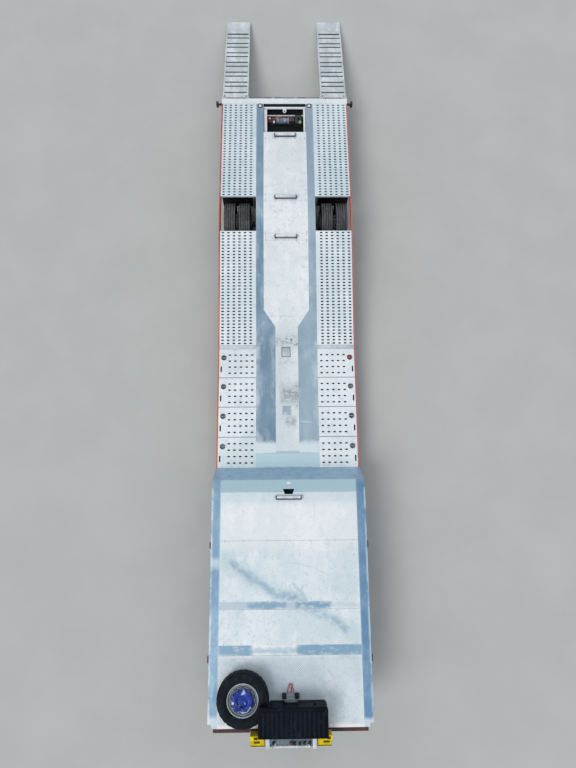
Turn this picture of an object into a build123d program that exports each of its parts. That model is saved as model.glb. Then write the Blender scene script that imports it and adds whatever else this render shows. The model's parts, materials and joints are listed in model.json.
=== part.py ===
from build123d import *
import math
import os

os.makedirs("parts", exist_ok=True)

# Car transporter semi-trailer, standing on its wheels, its landing legs and its lowered ramps.
# Millimetres. +X is the trailer's left side, +Y points to its rear, +Z is up, z = 0 is the ground.
# Stations run rearward from the front edge of the gooseneck deck; each piece is drawn on its
# station and moved by Y_SHIFT at the end, so the origin lies under the middle of the whole.

# Overall
HALF_WIDTH = 1275.0

# Deck line: where the walking surface lies, by station
GOOSENECK_Z = 1080.0
BEVEL_S = 3550.0
STEP_TOP_S = 3754.0
STEP_TOP_Z = 1020.0
STEP_FOOT_S = 4005.0
LOW_Z = 500.0
RISE_S = 6280.0
AXLE_S = 8806.0
PEAK_Z = 820.0
REAR_BEAM_S = 11360.0
REAR_BEAM_DEPTH = 129.0
REAR_FACE_S = REAR_BEAM_S + REAR_BEAM_DEPTH
TAIL_Z = 660.0

# Plates, and the beams that stand at a share of the half width
DECK_PLATE = 6.0
SEAM = 3.0
GOOSENECK_FLANGE = 8.0
LOW_FLANGE = 14.0
STRIP_SHARE = 0.4463
STRIP_WIDTH = 144.0
STRIP_OUT = STRIP_SHARE * HALF_WIDTH
STRIP_IN = STRIP_OUT - STRIP_WIDTH
WEB = 12.0
WEB_X = (STRIP_IN + STRIP_OUT) / 2
WEB_IN = WEB_X - WEB / 2
WEB_OUT = WEB_X + WEB / 2
NECK_PLATE = 215.0
NECK_HALF = STRIP_IN - NECK_PLATE
NECK_S = 4264.0
FLARE_S = 6620.0
FLARE_SEAM_S = 6820.0
FLARE_END_S = 6940.0

# Underside of the main beams
COUPLER_Z = 950.0
COUPLER_PLATE = 14.0
NECK_FOOT_S = 2300.0
ELBOW_S = 3250.0
ELBOW_Z = 800.0
KNEE_S = 3640.0
BELLY_Z = 280.0
BELLY_END_S = 6500.0
ARCH_S = 8000.0
ARCH_Z = 560.0
ARCH_END_S = 9700.0
TAIL_FOOT_Z = 470.0

# Cross members
MEMBER_WIDTH = 60.0
MEMBER_WALL = 6.0
MEMBER_DEPTH = 90.0
ARM_DEPTH = 80.0
FIRST_MEMBER = 115.0
MID_MEMBER_S = 6780.0
OPENING_LAND = 113.0
REAR_LAND = 75.0
WELL_LAND = 35.0
NOSE_MEMBER_S = 200.0
THROAT_MEMBER_S = 640.0
SEAM_MEMBER_S = 2768.0
STEP_LAND = 60.0

# Lanes
RAIL_TOP = 25.0
LANE_OUT = HALF_WIDTH - RAIL_TOP
TRAY_PLATE = 5.0
TRAY_EDGE = 36.0
TRAY_WALL = 4.0
TRAY_DEPTH = TRAY_PLATE + TRAY_EDGE
RAIL_DEPTH = 160.0
RAIL_PLATE = 6.0
PACKING = 70.0
OPENING_FRONT_S = 8464.0
OPENING_REAR_S = 9185.0

# Front panels: slots, lashing pot and lashing slot, measured from a panel's front edge
PANELS = 4
PANEL_PITCH = 550.0
PANEL_GAP = 4.0
SLOT_LENGTH = 42.0
SLOT_WIDTH = 20.0
SLOT_COLUMNS = 5
FIRST_COLUMN = 71.0
LAST_COLUMN = 194.0
FIRST_ROW = 85.0
LAST_ROW = 430.0
SLOT_ROWS = 4
POT_RADIUS = 50.0
POT_EDGE = 84.0
POT_BACK = 380.0
POT_DEPTH = 32.0
POT_WALL = 3.0
LASH_EDGE = 37.0
LASH_BACK = 160.0
LASH_LENGTH = 110.0
LASH_WIDTH = 25.0

# Gooseneck
BAND_WIDTH = 150.0
BAND_PLATE = 8.0
SIDE_DEPTH = 130.0
SIDE_FOOT = 80.0
NOTCH = 60.0
FIRST_BAND_S = 1030.0
SECOND_BAND_S = 1710.0
SECOND_BAND = 120.0
ROPE_HOLE_S = 3512.0
ROPE_HOLE_LENGTH = 86.0
ROPE_HOLE_FRONT = 65.0
ROPE_HOLE_REAR = 95.0
CHEEK_RUN = 200.0
CHEEK_RISE = 60.0

# Coupling
PLATE_FRONT_S = 480.0
PLATE_REAR_S = 1900.0
KINGPIN_S = 1100.0
KINGPIN_COLLAR_R = 36.5
KINGPIN_NECK_R = 25.4
KINGPIN_COLLAR = 32.0
KINGPIN_NECK = 38.0
KINGPIN_LENGTH = 84.0

# Rear beam and underrun bar
REAR_FOOT_Z = 440.0
REAR_PLATE = 8.0
REAR_SEAT = 0.2
DRAIN = 70.0
BAR_END = 75.0
BAR_S = 11580.0
BAR_DEPTH = 90.0
BAR_Z = 380.0
BAR_HEIGHT = 100.0
BAR_PLATE = 6.0
BAR_CORNER = 12.0
BAR_ARM = 30.0
BAR_ARM_TOP_Z = 560.0

# Lamps and plate
PLATE_HALF = 260.0
PLATE_HEIGHT = 110.0
PLATE_SHEET = 3.0
TAIL_LAMP = (260.0, 28.0, 74.0)
PLATE_LAMP_X = 230.0
PLATE_LAMP = (50.0, 45.0, 22.0)
LAMP_CORNER = 10.0
CORNER_LAMP_REACH = 120.0
CORNER_LAMP = (45.0, 76.0, 110.0)
CORNER_ARM_ROOT = 44.0
CORNER_ARM_TIP = 28.0
CORNER_LAMP_S = 11420.0
CORNER_LAMP_Z = 560.0
SIDE_LAMP = (26.0, 110.0, 40.0)
SIDE_LAMP_DROP = 75.0
FRONT_SIDE_LAMP_S = 970.0
REAR_SIDE_LAMP_S = 2700.0

# Rear compartment and its hydraulic unit
WELL_FRONT_S = 10675.0
WELL_FLOOR_Z = 522.0
WELL_PLATE = 6.0
WELL_HALF = 385.0
WELL_WALL_TOP_Z = 640.0
WELL_WALL_REACH = 590.0
CROSS_BAR_S = 11285.0
CROSS_BAR_Z = 622.0
CROSS_BAR_R = 24.0
EYE_REACH = 110.0
EYE_HALF = 35.0
EYE_PLATE = 20.0
EYE_HOLE_R = 20.0
MOTOR_R = 62.0
MOTOR_LENGTH = 250.0
MOTOR_S = 11010.0
PUMP_X = 140.0
OIL_TANK_X = 275.0
VALVE_X = -270.0
PUMP = (100.0, 100.0, 110.0)
OIL_TANK = (130.0, 190.0, 120.0)
VALVE = (120.0, 90.0, 90.0)
UNIT_GAP = 20.0
TANK_CORNER = 14.0
FILLER_R = 18.0
FILLER_HEIGHT = 16.0
SOLENOID_R = 16.0
SOLENOID_LENGTH = 50.0
PIPE_S = 11130.0
PIPE_R = 14.0

# Rope rollers
ROLLER_R = 21.0
ROLLER_INSET = 225.0
ROLLER_LIFT = 40.0
ROLLER_FRONT_S = 3462.0
ROLLER_MID_S = 8350.0
ROLLER_REAR_S = 9160.0
ROLLER_TAIL_S = 10585.0
EAR = 12.0
EAR_FOOT = 30.0
EAR_SHOULDER = (22.0, 58.0)
EAR_HEAD = (8.0, 68.0)
GUARD_REACH = 42.0
GUARD_Z = 16.0
GUARD_HEIGHT = 14.0

# Wheels
TYRE_R = 398.5
TREAD_HALF = 98.0
TYRE_HALF = 116.5
SHOULDER_HALF = 112.0
SHOULDER_R = 366.0
BULGE_R = 300.0
BEAD_R = 222.0
RIM_HALF = 98.0
BEAD_HALF = 86.0
FLANGE_R = 241.0
RIM_WALL = 8.0
WELL_R = 205.0
WELL_X = 50.0
DISC = 10.0
DISC_ROOT = 40.0
DISC_FLAT_R = 152.0
DISC_BORE_R = 88.0
HAND_HOLES = 10
HAND_HOLE_R = 16.0
HAND_RING_R = 171.0
WHEEL_EDGE = 175.0
TWIN_PITCH = 278.0
WHEEL_OUT_X = LANE_OUT - WHEEL_EDGE
WHEEL_IN_X = WHEEL_OUT_X - TWIN_PITCH
MOUNT_X = (WHEEL_OUT_X + WHEEL_IN_X) / 2
SPINDLE_R = 45.0
HUB_BORE_R = 46.0
DRUM_R = 182.0
DRUM_WALL = 12.0
DRUM_REACH = 276.0
DRUM_END = 90.0
HUB_R = 140.0
HUB_SHOULDER = 36.0
HUB_CORE_R = 90.0
HUB_CORE_REACH = 216.0
HUB_CAP_R = 80.0
HUB_CAP_REACH = 104.0
HUB_CAP_WALL = 22.0
HUB_FIT = 1.0
AXLE_END = 336.0
SPINDLE_REACH = 74.0
AXLE_R = 63.5

# Suspension
PIVOT_S = 8256.0
PIVOT_DROP = 93.5
PIVOT_Z = TYRE_R - PIVOT_DROP
PIVOT_R = 20.0
ARM_HALF = 27.0
ARM_BAR = 56.0
ARM_SEAT = 4.0
ARM_NOSE = 45.0
ARM_TAIL = 500.0
SADDLE_HALF = 76.0
SADDLE_LIP = 14.0
HANGER_GAP = 10.0
HANGER_PLATE = 10.0
HANGER_HALF = 60.0
HANGER_FOOT = 40.0
SPRING_BACK = 380.0
SPRING_R = 118.0
SPRING_WAIST_R = 106.0
PISTON_R = 90.0
SPRING_TOP_R = 80.0
# piston and the two lobes of the bellows, as (radius, share of the height)
SPRING_SHAPE = (
    (PISTON_R, 0.27),
    (SPRING_R, 0.38),
    (SPRING_R, 0.54),
    (SPRING_WAIST_R, 0.63),
    (SPRING_R, 0.72),
    (SPRING_R, 0.86),
)
CHAMBER_X = 300.0
CHAMBER_BACK = 150.0
CHAMBER_R = 80.0
CHAMBER_LENGTH = 140.0
BRACKET_HALF = 30.0
TANK_X = 290.0
TANK_DOME = 35.0
TANK_Z = 400.0
TANK_R = 103.0
STRAP_X = 210.0
STRAP_HALF = 20.0
FLAP_EDGE = 10.0
FLAP = 6.0
FLAP_FOOT_Z = 250.0

# Ramps, measured from the hinge axis along the ramp
PIN_R = 15.0
EYE_R = 15.5
HINGE_BACK = 47.0
HINGE_S = REAR_FACE_S + HINGE_BACK
HINGE_Z = 606.0
RAMP_EDGE = 15.0
RAMP_OUT = HALF_WIDTH - RAMP_EDGE
RAMP_WIDTH = 520.0
RAMP_IN = RAMP_OUT - RAMP_WIDTH
RAMP_LENGTH = 2500.0
RAMP_TOP = 35.0
RAMP_TOE = -5.0
CHEEK = 28.0
TOE_PLATE = 420.0
TOE_SHEET = 8.0
SLAT_GAP = 26.0
HEAD_U = 122.0
PAIRS = 6
PAIR_PITCH = (RAMP_LENGTH - TOE_PLATE - SLAT_GAP - HEAD_U) / PAIRS
NARROW_SHARE = 0.3168
NARROW = NARROW_SHARE * PAIR_PITCH
WIDE = PAIR_PITCH - NARROW - 2 * SLAT_GAP
SLAT_DEPTH = 38.0
SLAT_DROP = 6.0
NOSE_U = 50.0
CHEEK_NOSE = 20.0
CHEEK_TAPER = 350.0
CHEEK_TOE = 35.0
CHEEK_DEPTH = 65.0
CHEEK_HEEL = 40.0
CHEEK_FULL = 300.0
CHEEK_STEP = 30.0
LUG = 10.0
LUG_GAP = 5.0
LUG_R = 28.0
LUG_ROOT = 60.0
RAMP_SLOPE = math.degrees(
    math.asin(HINGE_Z / math.hypot(RAMP_LENGTH, RAMP_TOE)) + math.atan2(RAMP_TOE, RAMP_LENGTH)
)

# Landing legs
LEG_S = 3380.0
LEG_EDGE = 71.0
LEG_X = STRIP_OUT + LEG_EDGE
LEG_SIDE = 110.0
LEG_FOOT_Z = 420.0
LEG_TOP_Z = 1000.0
LEG_CAP = 10.0
LEG_FIT = 2.0
FOOT_TUBE = 90.0
FOOT_TOP_Z = 520.0
FOOT_SHEET = 20.0
FOOT_HALF = 130.0
FOOT_TIP = 18.0
FOOT_RISE = 12.0
FOOT_WIDTH = 220.0
BRACKET_FOOT_Z = 850.0
GEAR_BOX = (90.0, 60.0, 120.0)
SHAFT_Z = 700.0
SHAFT_R = 14.0
SHAFT_HOLE_R = 20.0
CRANK_REACH = 205.0
CRANK_GRIP = 120.0
CRANK_DROP = 205.0
CRANK_R = 11.0
CRANK_GRIP_R = 12.0

# Front beam, front frame and wheel chocks
BEAM_END = 85.0
FRONT_BEAM_DEPTH = 60.0
FRONT_BEAM_TOP_Z = 1060.0
FRONT_BEAM_FOOT_Z = 960.0
BEAM_LUG = 35.0
BEAM_LUG_DROP = 80.0
FRAME_FRONT_S = -250.0
FRAME_X = 376.0
FRAME_RIM = 50.0
FRAME_PLATE = 8.0
FRAME_TOP_Z = 1210.0
FRAME_ROOT_Z = 975.0
FRAME_HEEL_S = -140.0
FRAME_NOSE_Z = 1080.0
FRAME_CORNER = 20.0
SHELF_FRONT_S = -185.0
SHELF_REAR_S = -95.0
SHELF_Z = 1180.0
TUBE_BACK = 30.0
TOP_TUBE_Z = 1175.0
TOP_TUBE_R = 18.0
LOW_TUBE_Z = 1110.0
LOW_TUBE_R = 14.0
CHOCK_WIDTH = 210.0
CHOCK_DEPTH = 188.0
CHOCK_HEIGHT = 225.0
CHOCK_TOP = 62.0
CHOCK_TOE = 34.0
CHOCK_HOLLOW = 17.0
CHOCK_WALL = 9.0
CHOCK_X = 508.0
CHOCK_FIT = 8.0
HOLDER_Z = 1066.0
HOLDER_SHEET = 6.0
HOLDER_LIP = 55.0
HOLDER_STEM = 30.0
HOLDER_STEM_Z = 1010.0

# Winch, its cover, fairlead and hook
COVER_X = 30.0
COVER_WIDTH = 1040.0
COVER_FRONT_S = -36.0
COVER_REAR_S = 389.0
COVER_HEIGHT = 385.0
COVER_WALL = 6.0
COVER_CORNER = 45.0
COVER_EDGE = 20.0
RIBS = 14
RIB_INSET = 40.0
RIB_FRONT = 30.0
RIB_REAR = 55.0
RIB_SHARE = 0.58
RIB_HEIGHT = 9.0
RIB_DRAFT = 25.0
MOUTH_X = 10.0
MOUTH_HALF = 100.0
MOUTH_HEIGHT = 120.0
WINCH = (550.0, 240.0, 230.0)
WINCH_S = 60.0
FAIR_X = 0.0
FAIR_S = 430.0
FAIR_HALF = 130.0
FAIR_HEIGHT = 110.0
FAIR_PLATE = 12.0
FAIR_FOOT = 60.0
FAIR_CORNER = 24.0
FAIR_MOUTH = (120.0, 44.0)
FAIR_ROLLER_X = 105.0
FAIR_ROLLER_R = 18.0
HOOK_S = 516.0
HOOK_SHANK = 76.0
HOOK_HALF = 15.0
HOOK_R = 36.0
HOOK_THROAT_R = 17.0
HOOK_SHEET = 22.0
HOOK_EYE_R = 9.0
HOOK_EYE_WALL = 6.0

# Spare wheel, lying beside the cover
SPARE_EDGE = 238.0
SPARE_X = COVER_X - COVER_WIDTH / 2 - SPARE_EDGE
SPARE_S = 444.0
SPARE_ROOM = 20.0

# deck line as (station, height) corners
LOW_LINE = (
    (STEP_FOOT_S, LOW_Z),
    (RISE_S, LOW_Z),
    (AXLE_S, PEAK_Z),
    (REAR_BEAM_S, TAIL_Z),
)
TOP_LINE = (
    (0.0, GOOSENECK_Z),
    (BEVEL_S, GOOSENECK_Z),
    (STEP_TOP_S, STEP_TOP_Z),
)


def line_z(line, s):
    """Height of a deck line at a station; the last leg runs on past its end."""
    for (s0, z0), (s1, z1) in zip(line, line[1:]):
        if s <= s1:
            break
    return z0 + (z1 - z0) * (s - s0) / (s1 - s0)


def deck(s):
    return line_z(LOW_LINE, s)


def spread(first, last, count):
    """Evenly spaced places from the first to the last."""
    step = (last - first) / (count - 1)
    return [first + index * step for index in range(count)]


def band(line, s0, s1, drop, thick):
    """Outline, in station and height, of a plate that follows a deck line."""
    inner = [s for s, z in line if s0 < s < s1]
    top = [(s, line_z(line, s) - drop) for s in [s0, *inner, s1]]
    return top + [(s, z - thick) for s, z in reversed(top)]


def bowed(start, end, rise):
    """Arc between two points, its middle standing off their line to the left by the rise."""
    along = end[0] - start[0]
    across = end[1] - start[1]
    reach = math.hypot(along, across)
    middle = (
        (start[0] + end[0]) / 2 - rise * across / reach,
        (start[1] + end[1]) / 2 + rise * along / reach,
    )
    return ThreePointArc(start, middle, end)


def ring(points, rises):
    """Closed face through the points; rises bows the edges it names by their number."""
    edges = []
    for index, start in enumerate(points):
        end = points[(index + 1) % len(points)]
        if index in rises:
            edges.append(bowed(start, end, rises[index]))
        else:
            edges.append(Line(start, end))
    return make_face(edges)


def plate(points, x0, x1):
    """Extrude an outline in station and height from x0 to x1."""
    face = Plane.YZ * make_face(Polyline(*points, close=True))
    return Pos(min(x0, x1), 0, 0) * extrude(face, amount=abs(x1 - x0))


def block(x0, x1, s0, s1, z0, z1):
    size = (abs(x1 - x0), abs(s1 - s0), abs(z1 - z0))
    return Pos((x0 + x1) / 2, (s0 + s1) / 2, (z0 + z1) / 2) * Box(*size)


def standing(x, s, z, size):
    """Block of the given size, centred in plan on (x, s) with its foot at z."""
    return Pos(x, s, z + size[2] / 2) * Box(*size)


def rounded(shape, axis, towards, count, radius):
    """Round the edges along one axis that lie furthest towards another."""
    return fillet(shape.edges().filter_by(axis).sort_by(towards)[-count:], radius)


def rod(x0, x1, s, z, radius):
    """Round bar lying across the trailer."""
    turned = Rot(0, 90, 0) * Cylinder(radius, abs(x1 - x0))
    return Pos((x0 + x1) / 2, s, z) * turned


def turned_x(points, x, s, z, facing=1):
    """Turn an outline of (distance along X, radius) about an axis across the trailer."""
    outline = [(facing * a, r) for a, r in points]
    face = make_face(Polyline(*outline, close=True))
    return Pos(x, s, z) * revolve(face, Axis.X, 360)


def fused(pieces):
    whole = pieces[0]
    for piece in pieces[1:]:
        whole = whole + piece
    return whole


def mirrored(shape):
    return mirror(shape, about=Plane.YZ)


def pair(shape):
    """The piece and its mirror image on the other side."""
    return [shape, mirrored(shape)]


def channel(line, s_mid, width, drop, depth, wall):
    """Outline of a channel across the trailer, open to the rear, its top along the deck line."""
    s0 = s_mid - width / 2
    s1 = s_mid + width / 2
    base = line_z(line, s_mid) - drop - depth

    def top(s):
        return line_z(line, s) - drop

    return [
        (s0, top(s0)),
        (s1, top(s1)),
        (s1, top(s1) - wall),
        (s0 + wall, top(s0 + wall) - wall),
        (s0 + wall, base + wall),
        (s1, base + wall),
        (s1, base),
        (s0, base),
    ]


# Main beams: web, upper flanges flush with the low deck, lower flange
BEAM_FOOT = (
    (0.0, COUPLER_Z + COUPLER_PLATE),
    (NECK_FOOT_S, COUPLER_Z + COUPLER_PLATE),
    (ELBOW_S, ELBOW_Z),
    (KNEE_S, BELLY_Z),
    (BELLY_END_S, BELLY_Z),
    (ARCH_S, ARCH_Z),
    (ARCH_END_S, ARCH_Z),
    (REAR_BEAM_S, TAIL_FOOT_Z),
)
SHAFT_S = LEG_S + LEG_SIDE / 2 + GEAR_BOX[1] / 2


def main_beam():
    front_web = [(s, z - DECK_PLATE - GOOSENECK_FLANGE) for s, z in TOP_LINE]
    low_web = [(s, z - LOW_FLANGE) for s, z in LOW_LINE]
    foot = [(s, z + LOW_FLANGE) for s, z in reversed(BEAM_FOOT)]
    web = plate(front_web + low_web + foot, WEB_IN, WEB_OUT)
    gooseneck = plate(
        band(TOP_LINE, 0, STEP_TOP_S, DECK_PLATE, GOOSENECK_FLANGE), STRIP_IN, STRIP_OUT
    )
    low = plate(band(LOW_LINE, STEP_FOOT_S, REAR_BEAM_S, 0, LOW_FLANGE), STRIP_IN, STRIP_OUT)
    lower = [(s, z + LOW_FLANGE) for s, z in BEAM_FOOT]
    lower += [(s, z) for s, z in reversed(BEAM_FOOT)]
    return fused([web, gooseneck, low, plate(lower, STRIP_IN, STRIP_OUT)])


shaft_hole = rod(WEB_IN - WEB, WEB_OUT + WEB, SHAFT_S, SHAFT_Z, SHAFT_HOLE_R)
main_beams = pair(main_beam() - shaft_hole)

# Cross members: a channel between the webs and an outrigger on each side, at these stations
LOW_STATIONS = [STEP_FOOT_S + FIRST_MEMBER]
LOW_STATIONS += [STEP_FOOT_S + index * PANEL_PITCH for index in range(1, PANELS + 1)]
LOW_STATIONS += spread(MID_MEMBER_S, OPENING_FRONT_S - OPENING_LAND, 4)
LOW_STATIONS += spread(OPENING_REAR_S + REAR_LAND, WELL_FRONT_S - WELL_LAND, 4)
GOOSENECK_STATIONS = (
    NOSE_MEMBER_S,
    THROAT_MEMBER_S,
    FIRST_BAND_S + BAND_WIDTH / 2,
    SECOND_BAND_S + SECOND_BAND / 2,
    SEAM_MEMBER_S,
    STEP_TOP_S - STEP_LAND,
)


def crossing(line, s, drop, depth, packer_drop, packer):
    """Channel between the webs, with the packer that fills it up to the deck plate."""
    inner = plate(channel(line, s, MEMBER_WIDTH, drop, depth, MEMBER_WALL), -WEB_IN, WEB_IN)
    edge = band(line, s - MEMBER_WIDTH / 2, s + MEMBER_WIDTH / 2, packer_drop, packer)
    return inner + plate(edge, -STRIP_IN, STRIP_IN)


members = []
for s in LOW_STATIONS:
    members.append(
        crossing(LOW_LINE, s, LOW_FLANGE, MEMBER_DEPTH, DECK_PLATE, LOW_FLANGE - DECK_PLATE)
    )
    arm_edge = channel(LOW_LINE, s, MEMBER_WIDTH, TRAY_DEPTH, ARM_DEPTH, MEMBER_WALL)
    members += pair(plate(arm_edge, WEB_OUT, HALF_WIDTH - RAIL_PLATE))
for s in GOOSENECK_STATIONS:
    head = DECK_PLATE + GOOSENECK_FLANGE
    members.append(crossing(TOP_LINE, s, head, ARM_DEPTH, DECK_PLATE, GOOSENECK_FLANGE))
    arm_edge = channel(TOP_LINE, s, MEMBER_WIDTH, head, ARM_DEPTH, MEMBER_WALL)
    packer_edge = band(
        TOP_LINE, s - MEMBER_WIDTH / 2, s + MEMBER_WIDTH / 2, DECK_PLATE, GOOSENECK_FLANGE
    )
    arm = plate(arm_edge, WEB_OUT, HALF_WIDTH - BAND_PLATE)
    members += pair(arm + plate(packer_edge, STRIP_OUT, HALF_WIDTH - BAND_WIDTH))

# Gooseneck frame: side channels with their wide upper flange, the flush cross bands, the side
# plates that close the neck down to the low rails
BANDS = (
    (FIRST_BAND_S, FIRST_BAND_S + BAND_WIDTH),
    (SECOND_BAND_S, SECOND_BAND_S + SECOND_BAND),
    (BEVEL_S, STEP_TOP_S),
)
band_in = HALF_WIDTH - BAND_WIDTH


def gooseneck_side():
    flange = plate(band(TOP_LINE, NOTCH, STEP_TOP_S, 0, BAND_PLATE), band_in, HALF_WIDTH)
    web = plate(
        band(TOP_LINE, NOTCH, STEP_TOP_S, BAND_PLATE, SIDE_DEPTH - 2 * BAND_PLATE),
        HALF_WIDTH - BAND_PLATE,
        HALF_WIDTH,
    )
    lower = plate(
        band(TOP_LINE, NOTCH, STEP_TOP_S, SIDE_DEPTH - BAND_PLATE, BAND_PLATE),
        HALF_WIDTH - SIDE_FOOT,
        HALF_WIDTH,
    )
    nose = block(band_in, HALF_WIDTH - NOTCH, 0, NOTCH, GOOSENECK_Z - BAND_PLATE, GOOSENECK_Z)
    return fused([flange, web, lower, nose])


cheek_foot_s = STEP_TOP_S - CHEEK_RUN
neck_side = plate(
    [
        (STEP_TOP_S, STEP_TOP_Z - LOW_FLANGE),
        (STEP_FOOT_S, LOW_Z - LOW_FLANGE),
        (STEP_FOOT_S, LOW_Z - RAIL_DEPTH),
        (STEP_TOP_S - CHEEK_RISE, LOW_Z + CHEEK_RISE),
        (cheek_foot_s, line_z(TOP_LINE, cheek_foot_s) - SIDE_DEPTH),
        (STEP_TOP_S, STEP_TOP_Z - SIDE_DEPTH),
    ],
    HALF_WIDTH - BAND_PLATE,
    HALF_WIDTH,
)
gooseneck_frame = pair(fused([gooseneck_side(), neck_side]))
cross_bands = [plate(band(TOP_LINE, s0, s1, 0, DECK_PLATE), -band_in, band_in) for s0, s1 in BANDS]

# Gooseneck deck plates between the bands; the rearmost has the rope's trapezoid hole with the band
PLATE_RUNS = (
    (0.0, FIRST_BAND_S),
    (FIRST_BAND_S + BAND_WIDTH, SECOND_BAND_S),
    (SECOND_BAND_S + SECOND_BAND, SEAM_MEMBER_S),
    (SEAM_MEMBER_S, BEVEL_S),
)
hole_rear_s = ROPE_HOLE_S + ROPE_HOLE_LENGTH
rope_hole = Pos(0, 0, STEP_TOP_Z) * extrude(
    make_face(
        Polyline(
            (-ROPE_HOLE_FRONT, ROPE_HOLE_S),
            (ROPE_HOLE_FRONT, ROPE_HOLE_S),
            (ROPE_HOLE_REAR, hole_rear_s),
            (-ROPE_HOLE_REAR, hole_rear_s),
            close=True,
        )
    ),
    amount=GOOSENECK_Z,
)
deck_plates = [
    block(-band_in, band_in, s0, s1 - SEAM, GOOSENECK_Z - DECK_PLATE, GOOSENECK_Z)
    for s0, s1 in PLATE_RUNS
]
deck_plates[-1] = deck_plates[-1] - rope_hole
cross_bands[-1] = cross_bands[-1] - rope_hole

# Neck plates: the steep step, the foot plate behind it and the grey plates beside the neck cover
step_plate = plate(
    [
        (STEP_TOP_S, STEP_TOP_Z),
        (STEP_FOOT_S, LOW_Z),
        (STEP_FOOT_S, LOW_Z - LOW_FLANGE),
        (STEP_TOP_S, STEP_TOP_Z - LOW_FLANGE),
    ],
    -HALF_WIDTH,
    HALF_WIDTH,
)
foot_plate = block(-STRIP_IN, STRIP_IN, STEP_FOOT_S, NECK_S - SEAM, LOW_Z - DECK_PLATE, LOW_Z)


def flat_cover(points, s0, s1):
    """Plan outline given a plate's thickness along the low deck line between two stations."""
    tool = extrude(make_face(Polyline(*points, close=True)), amount=GOOSENECK_Z)
    return plate(band(LOW_LINE, s0, s1, 0, DECK_PLATE), -STRIP_IN, STRIP_IN) & tool


neck_grey = flat_cover(
    [
        (NECK_HALF, NECK_S),
        (STRIP_IN, NECK_S),
        (STRIP_IN, FLARE_END_S),
        (NECK_HALF, FLARE_S),
    ],
    NECK_S,
    FLARE_END_S,
)
neck_plates = [step_plate, foot_plate] + pair(neck_grey)

# Centre covers: neck cover with its flare, then plain covers between seams, some with a short
# cover that carries a rope roller
SHORT_COVER = 140.0
SHORT_COVER_REAR = 150.0
COVER_SEAMS = (
    FLARE_SEAM_S,
    ROLLER_MID_S - SHORT_COVER / 2,
    ROLLER_MID_S + SHORT_COVER / 2,
    ROLLER_REAR_S - SHORT_COVER / 2,
    ROLLER_REAR_S + SHORT_COVER / 2,
    WELL_FRONT_S - SEAM - SHORT_COVER_REAR,
    WELL_FRONT_S - SEAM,
)
flare = (STRIP_IN - NECK_HALF) / (FLARE_END_S - FLARE_S)
seam_half = NECK_HALF + flare * (FLARE_SEAM_S - FLARE_S)
centre_covers = [
    flat_cover(
        [
            (-NECK_HALF, NECK_S),
            (NECK_HALF, NECK_S),
            (NECK_HALF, FLARE_S),
            (seam_half, FLARE_SEAM_S),
            (-seam_half, FLARE_SEAM_S),
            (-NECK_HALF, FLARE_S),
        ],
        NECK_S,
        FLARE_SEAM_S,
    ),
    flat_cover(
        [
            (-seam_half, FLARE_SEAM_S + SEAM),
            (seam_half, FLARE_SEAM_S + SEAM),
            (STRIP_IN, FLARE_END_S),
            (STRIP_IN, COVER_SEAMS[1] - SEAM),
            (-STRIP_IN, COVER_SEAMS[1] - SEAM),
            (-STRIP_IN, FLARE_END_S),
        ],
        FLARE_SEAM_S,
        COVER_SEAMS[1],
    ),
]
for s0, s1 in zip(COVER_SEAMS[1:], COVER_SEAMS[2:]):
    centre_covers.append(
        plate(band(LOW_LINE, s0, s1 - SEAM, 0, DECK_PLATE), -STRIP_IN, STRIP_IN)
    )


# Side rails: channels open to the inside, along the whole low deck
def side_rail():
    web = plate(
        band(LOW_LINE, STEP_FOOT_S, REAR_BEAM_S, 0, RAIL_DEPTH), HALF_WIDTH - RAIL_PLATE, HALF_WIDTH
    )
    top = plate(band(LOW_LINE, STEP_FOOT_S, REAR_BEAM_S, 0, RAIL_PLATE), LANE_OUT, HALF_WIDTH)
    low = plate(
        band(LOW_LINE, STEP_FOOT_S, REAR_BEAM_S, RAIL_DEPTH - RAIL_PLATE, RAIL_PLATE),
        LANE_OUT,
        HALF_WIDTH,
    )
    return fused([web, top, low])


side_rails = pair(side_rail())


# Lanes: trays with turned-down edges
def tray(s0, s1):
    top = plate(band(LOW_LINE, s0, s1, 0, TRAY_PLATE), STRIP_OUT, LANE_OUT)
    edge = band(LOW_LINE, s0, s1, TRAY_PLATE, TRAY_EDGE)
    front = band(LOW_LINE, s0, s0 + TRAY_WALL, TRAY_PLATE, TRAY_EDGE)
    rear = band(LOW_LINE, s1 - TRAY_WALL, s1, TRAY_PLATE, TRAY_EDGE)
    return fused(
        [
            top,
            plate(edge, STRIP_OUT, STRIP_OUT + TRAY_WALL),
            plate(edge, LANE_OUT - TRAY_WALL, LANE_OUT),
            plate(front, STRIP_OUT, LANE_OUT),
            plate(rear, STRIP_OUT, LANE_OUT),
        ]
    )


# Front panels: four a side, each with rows of slots, a lashing pot and a lashing slot
POT_X = LANE_OUT - POT_EDGE


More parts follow.
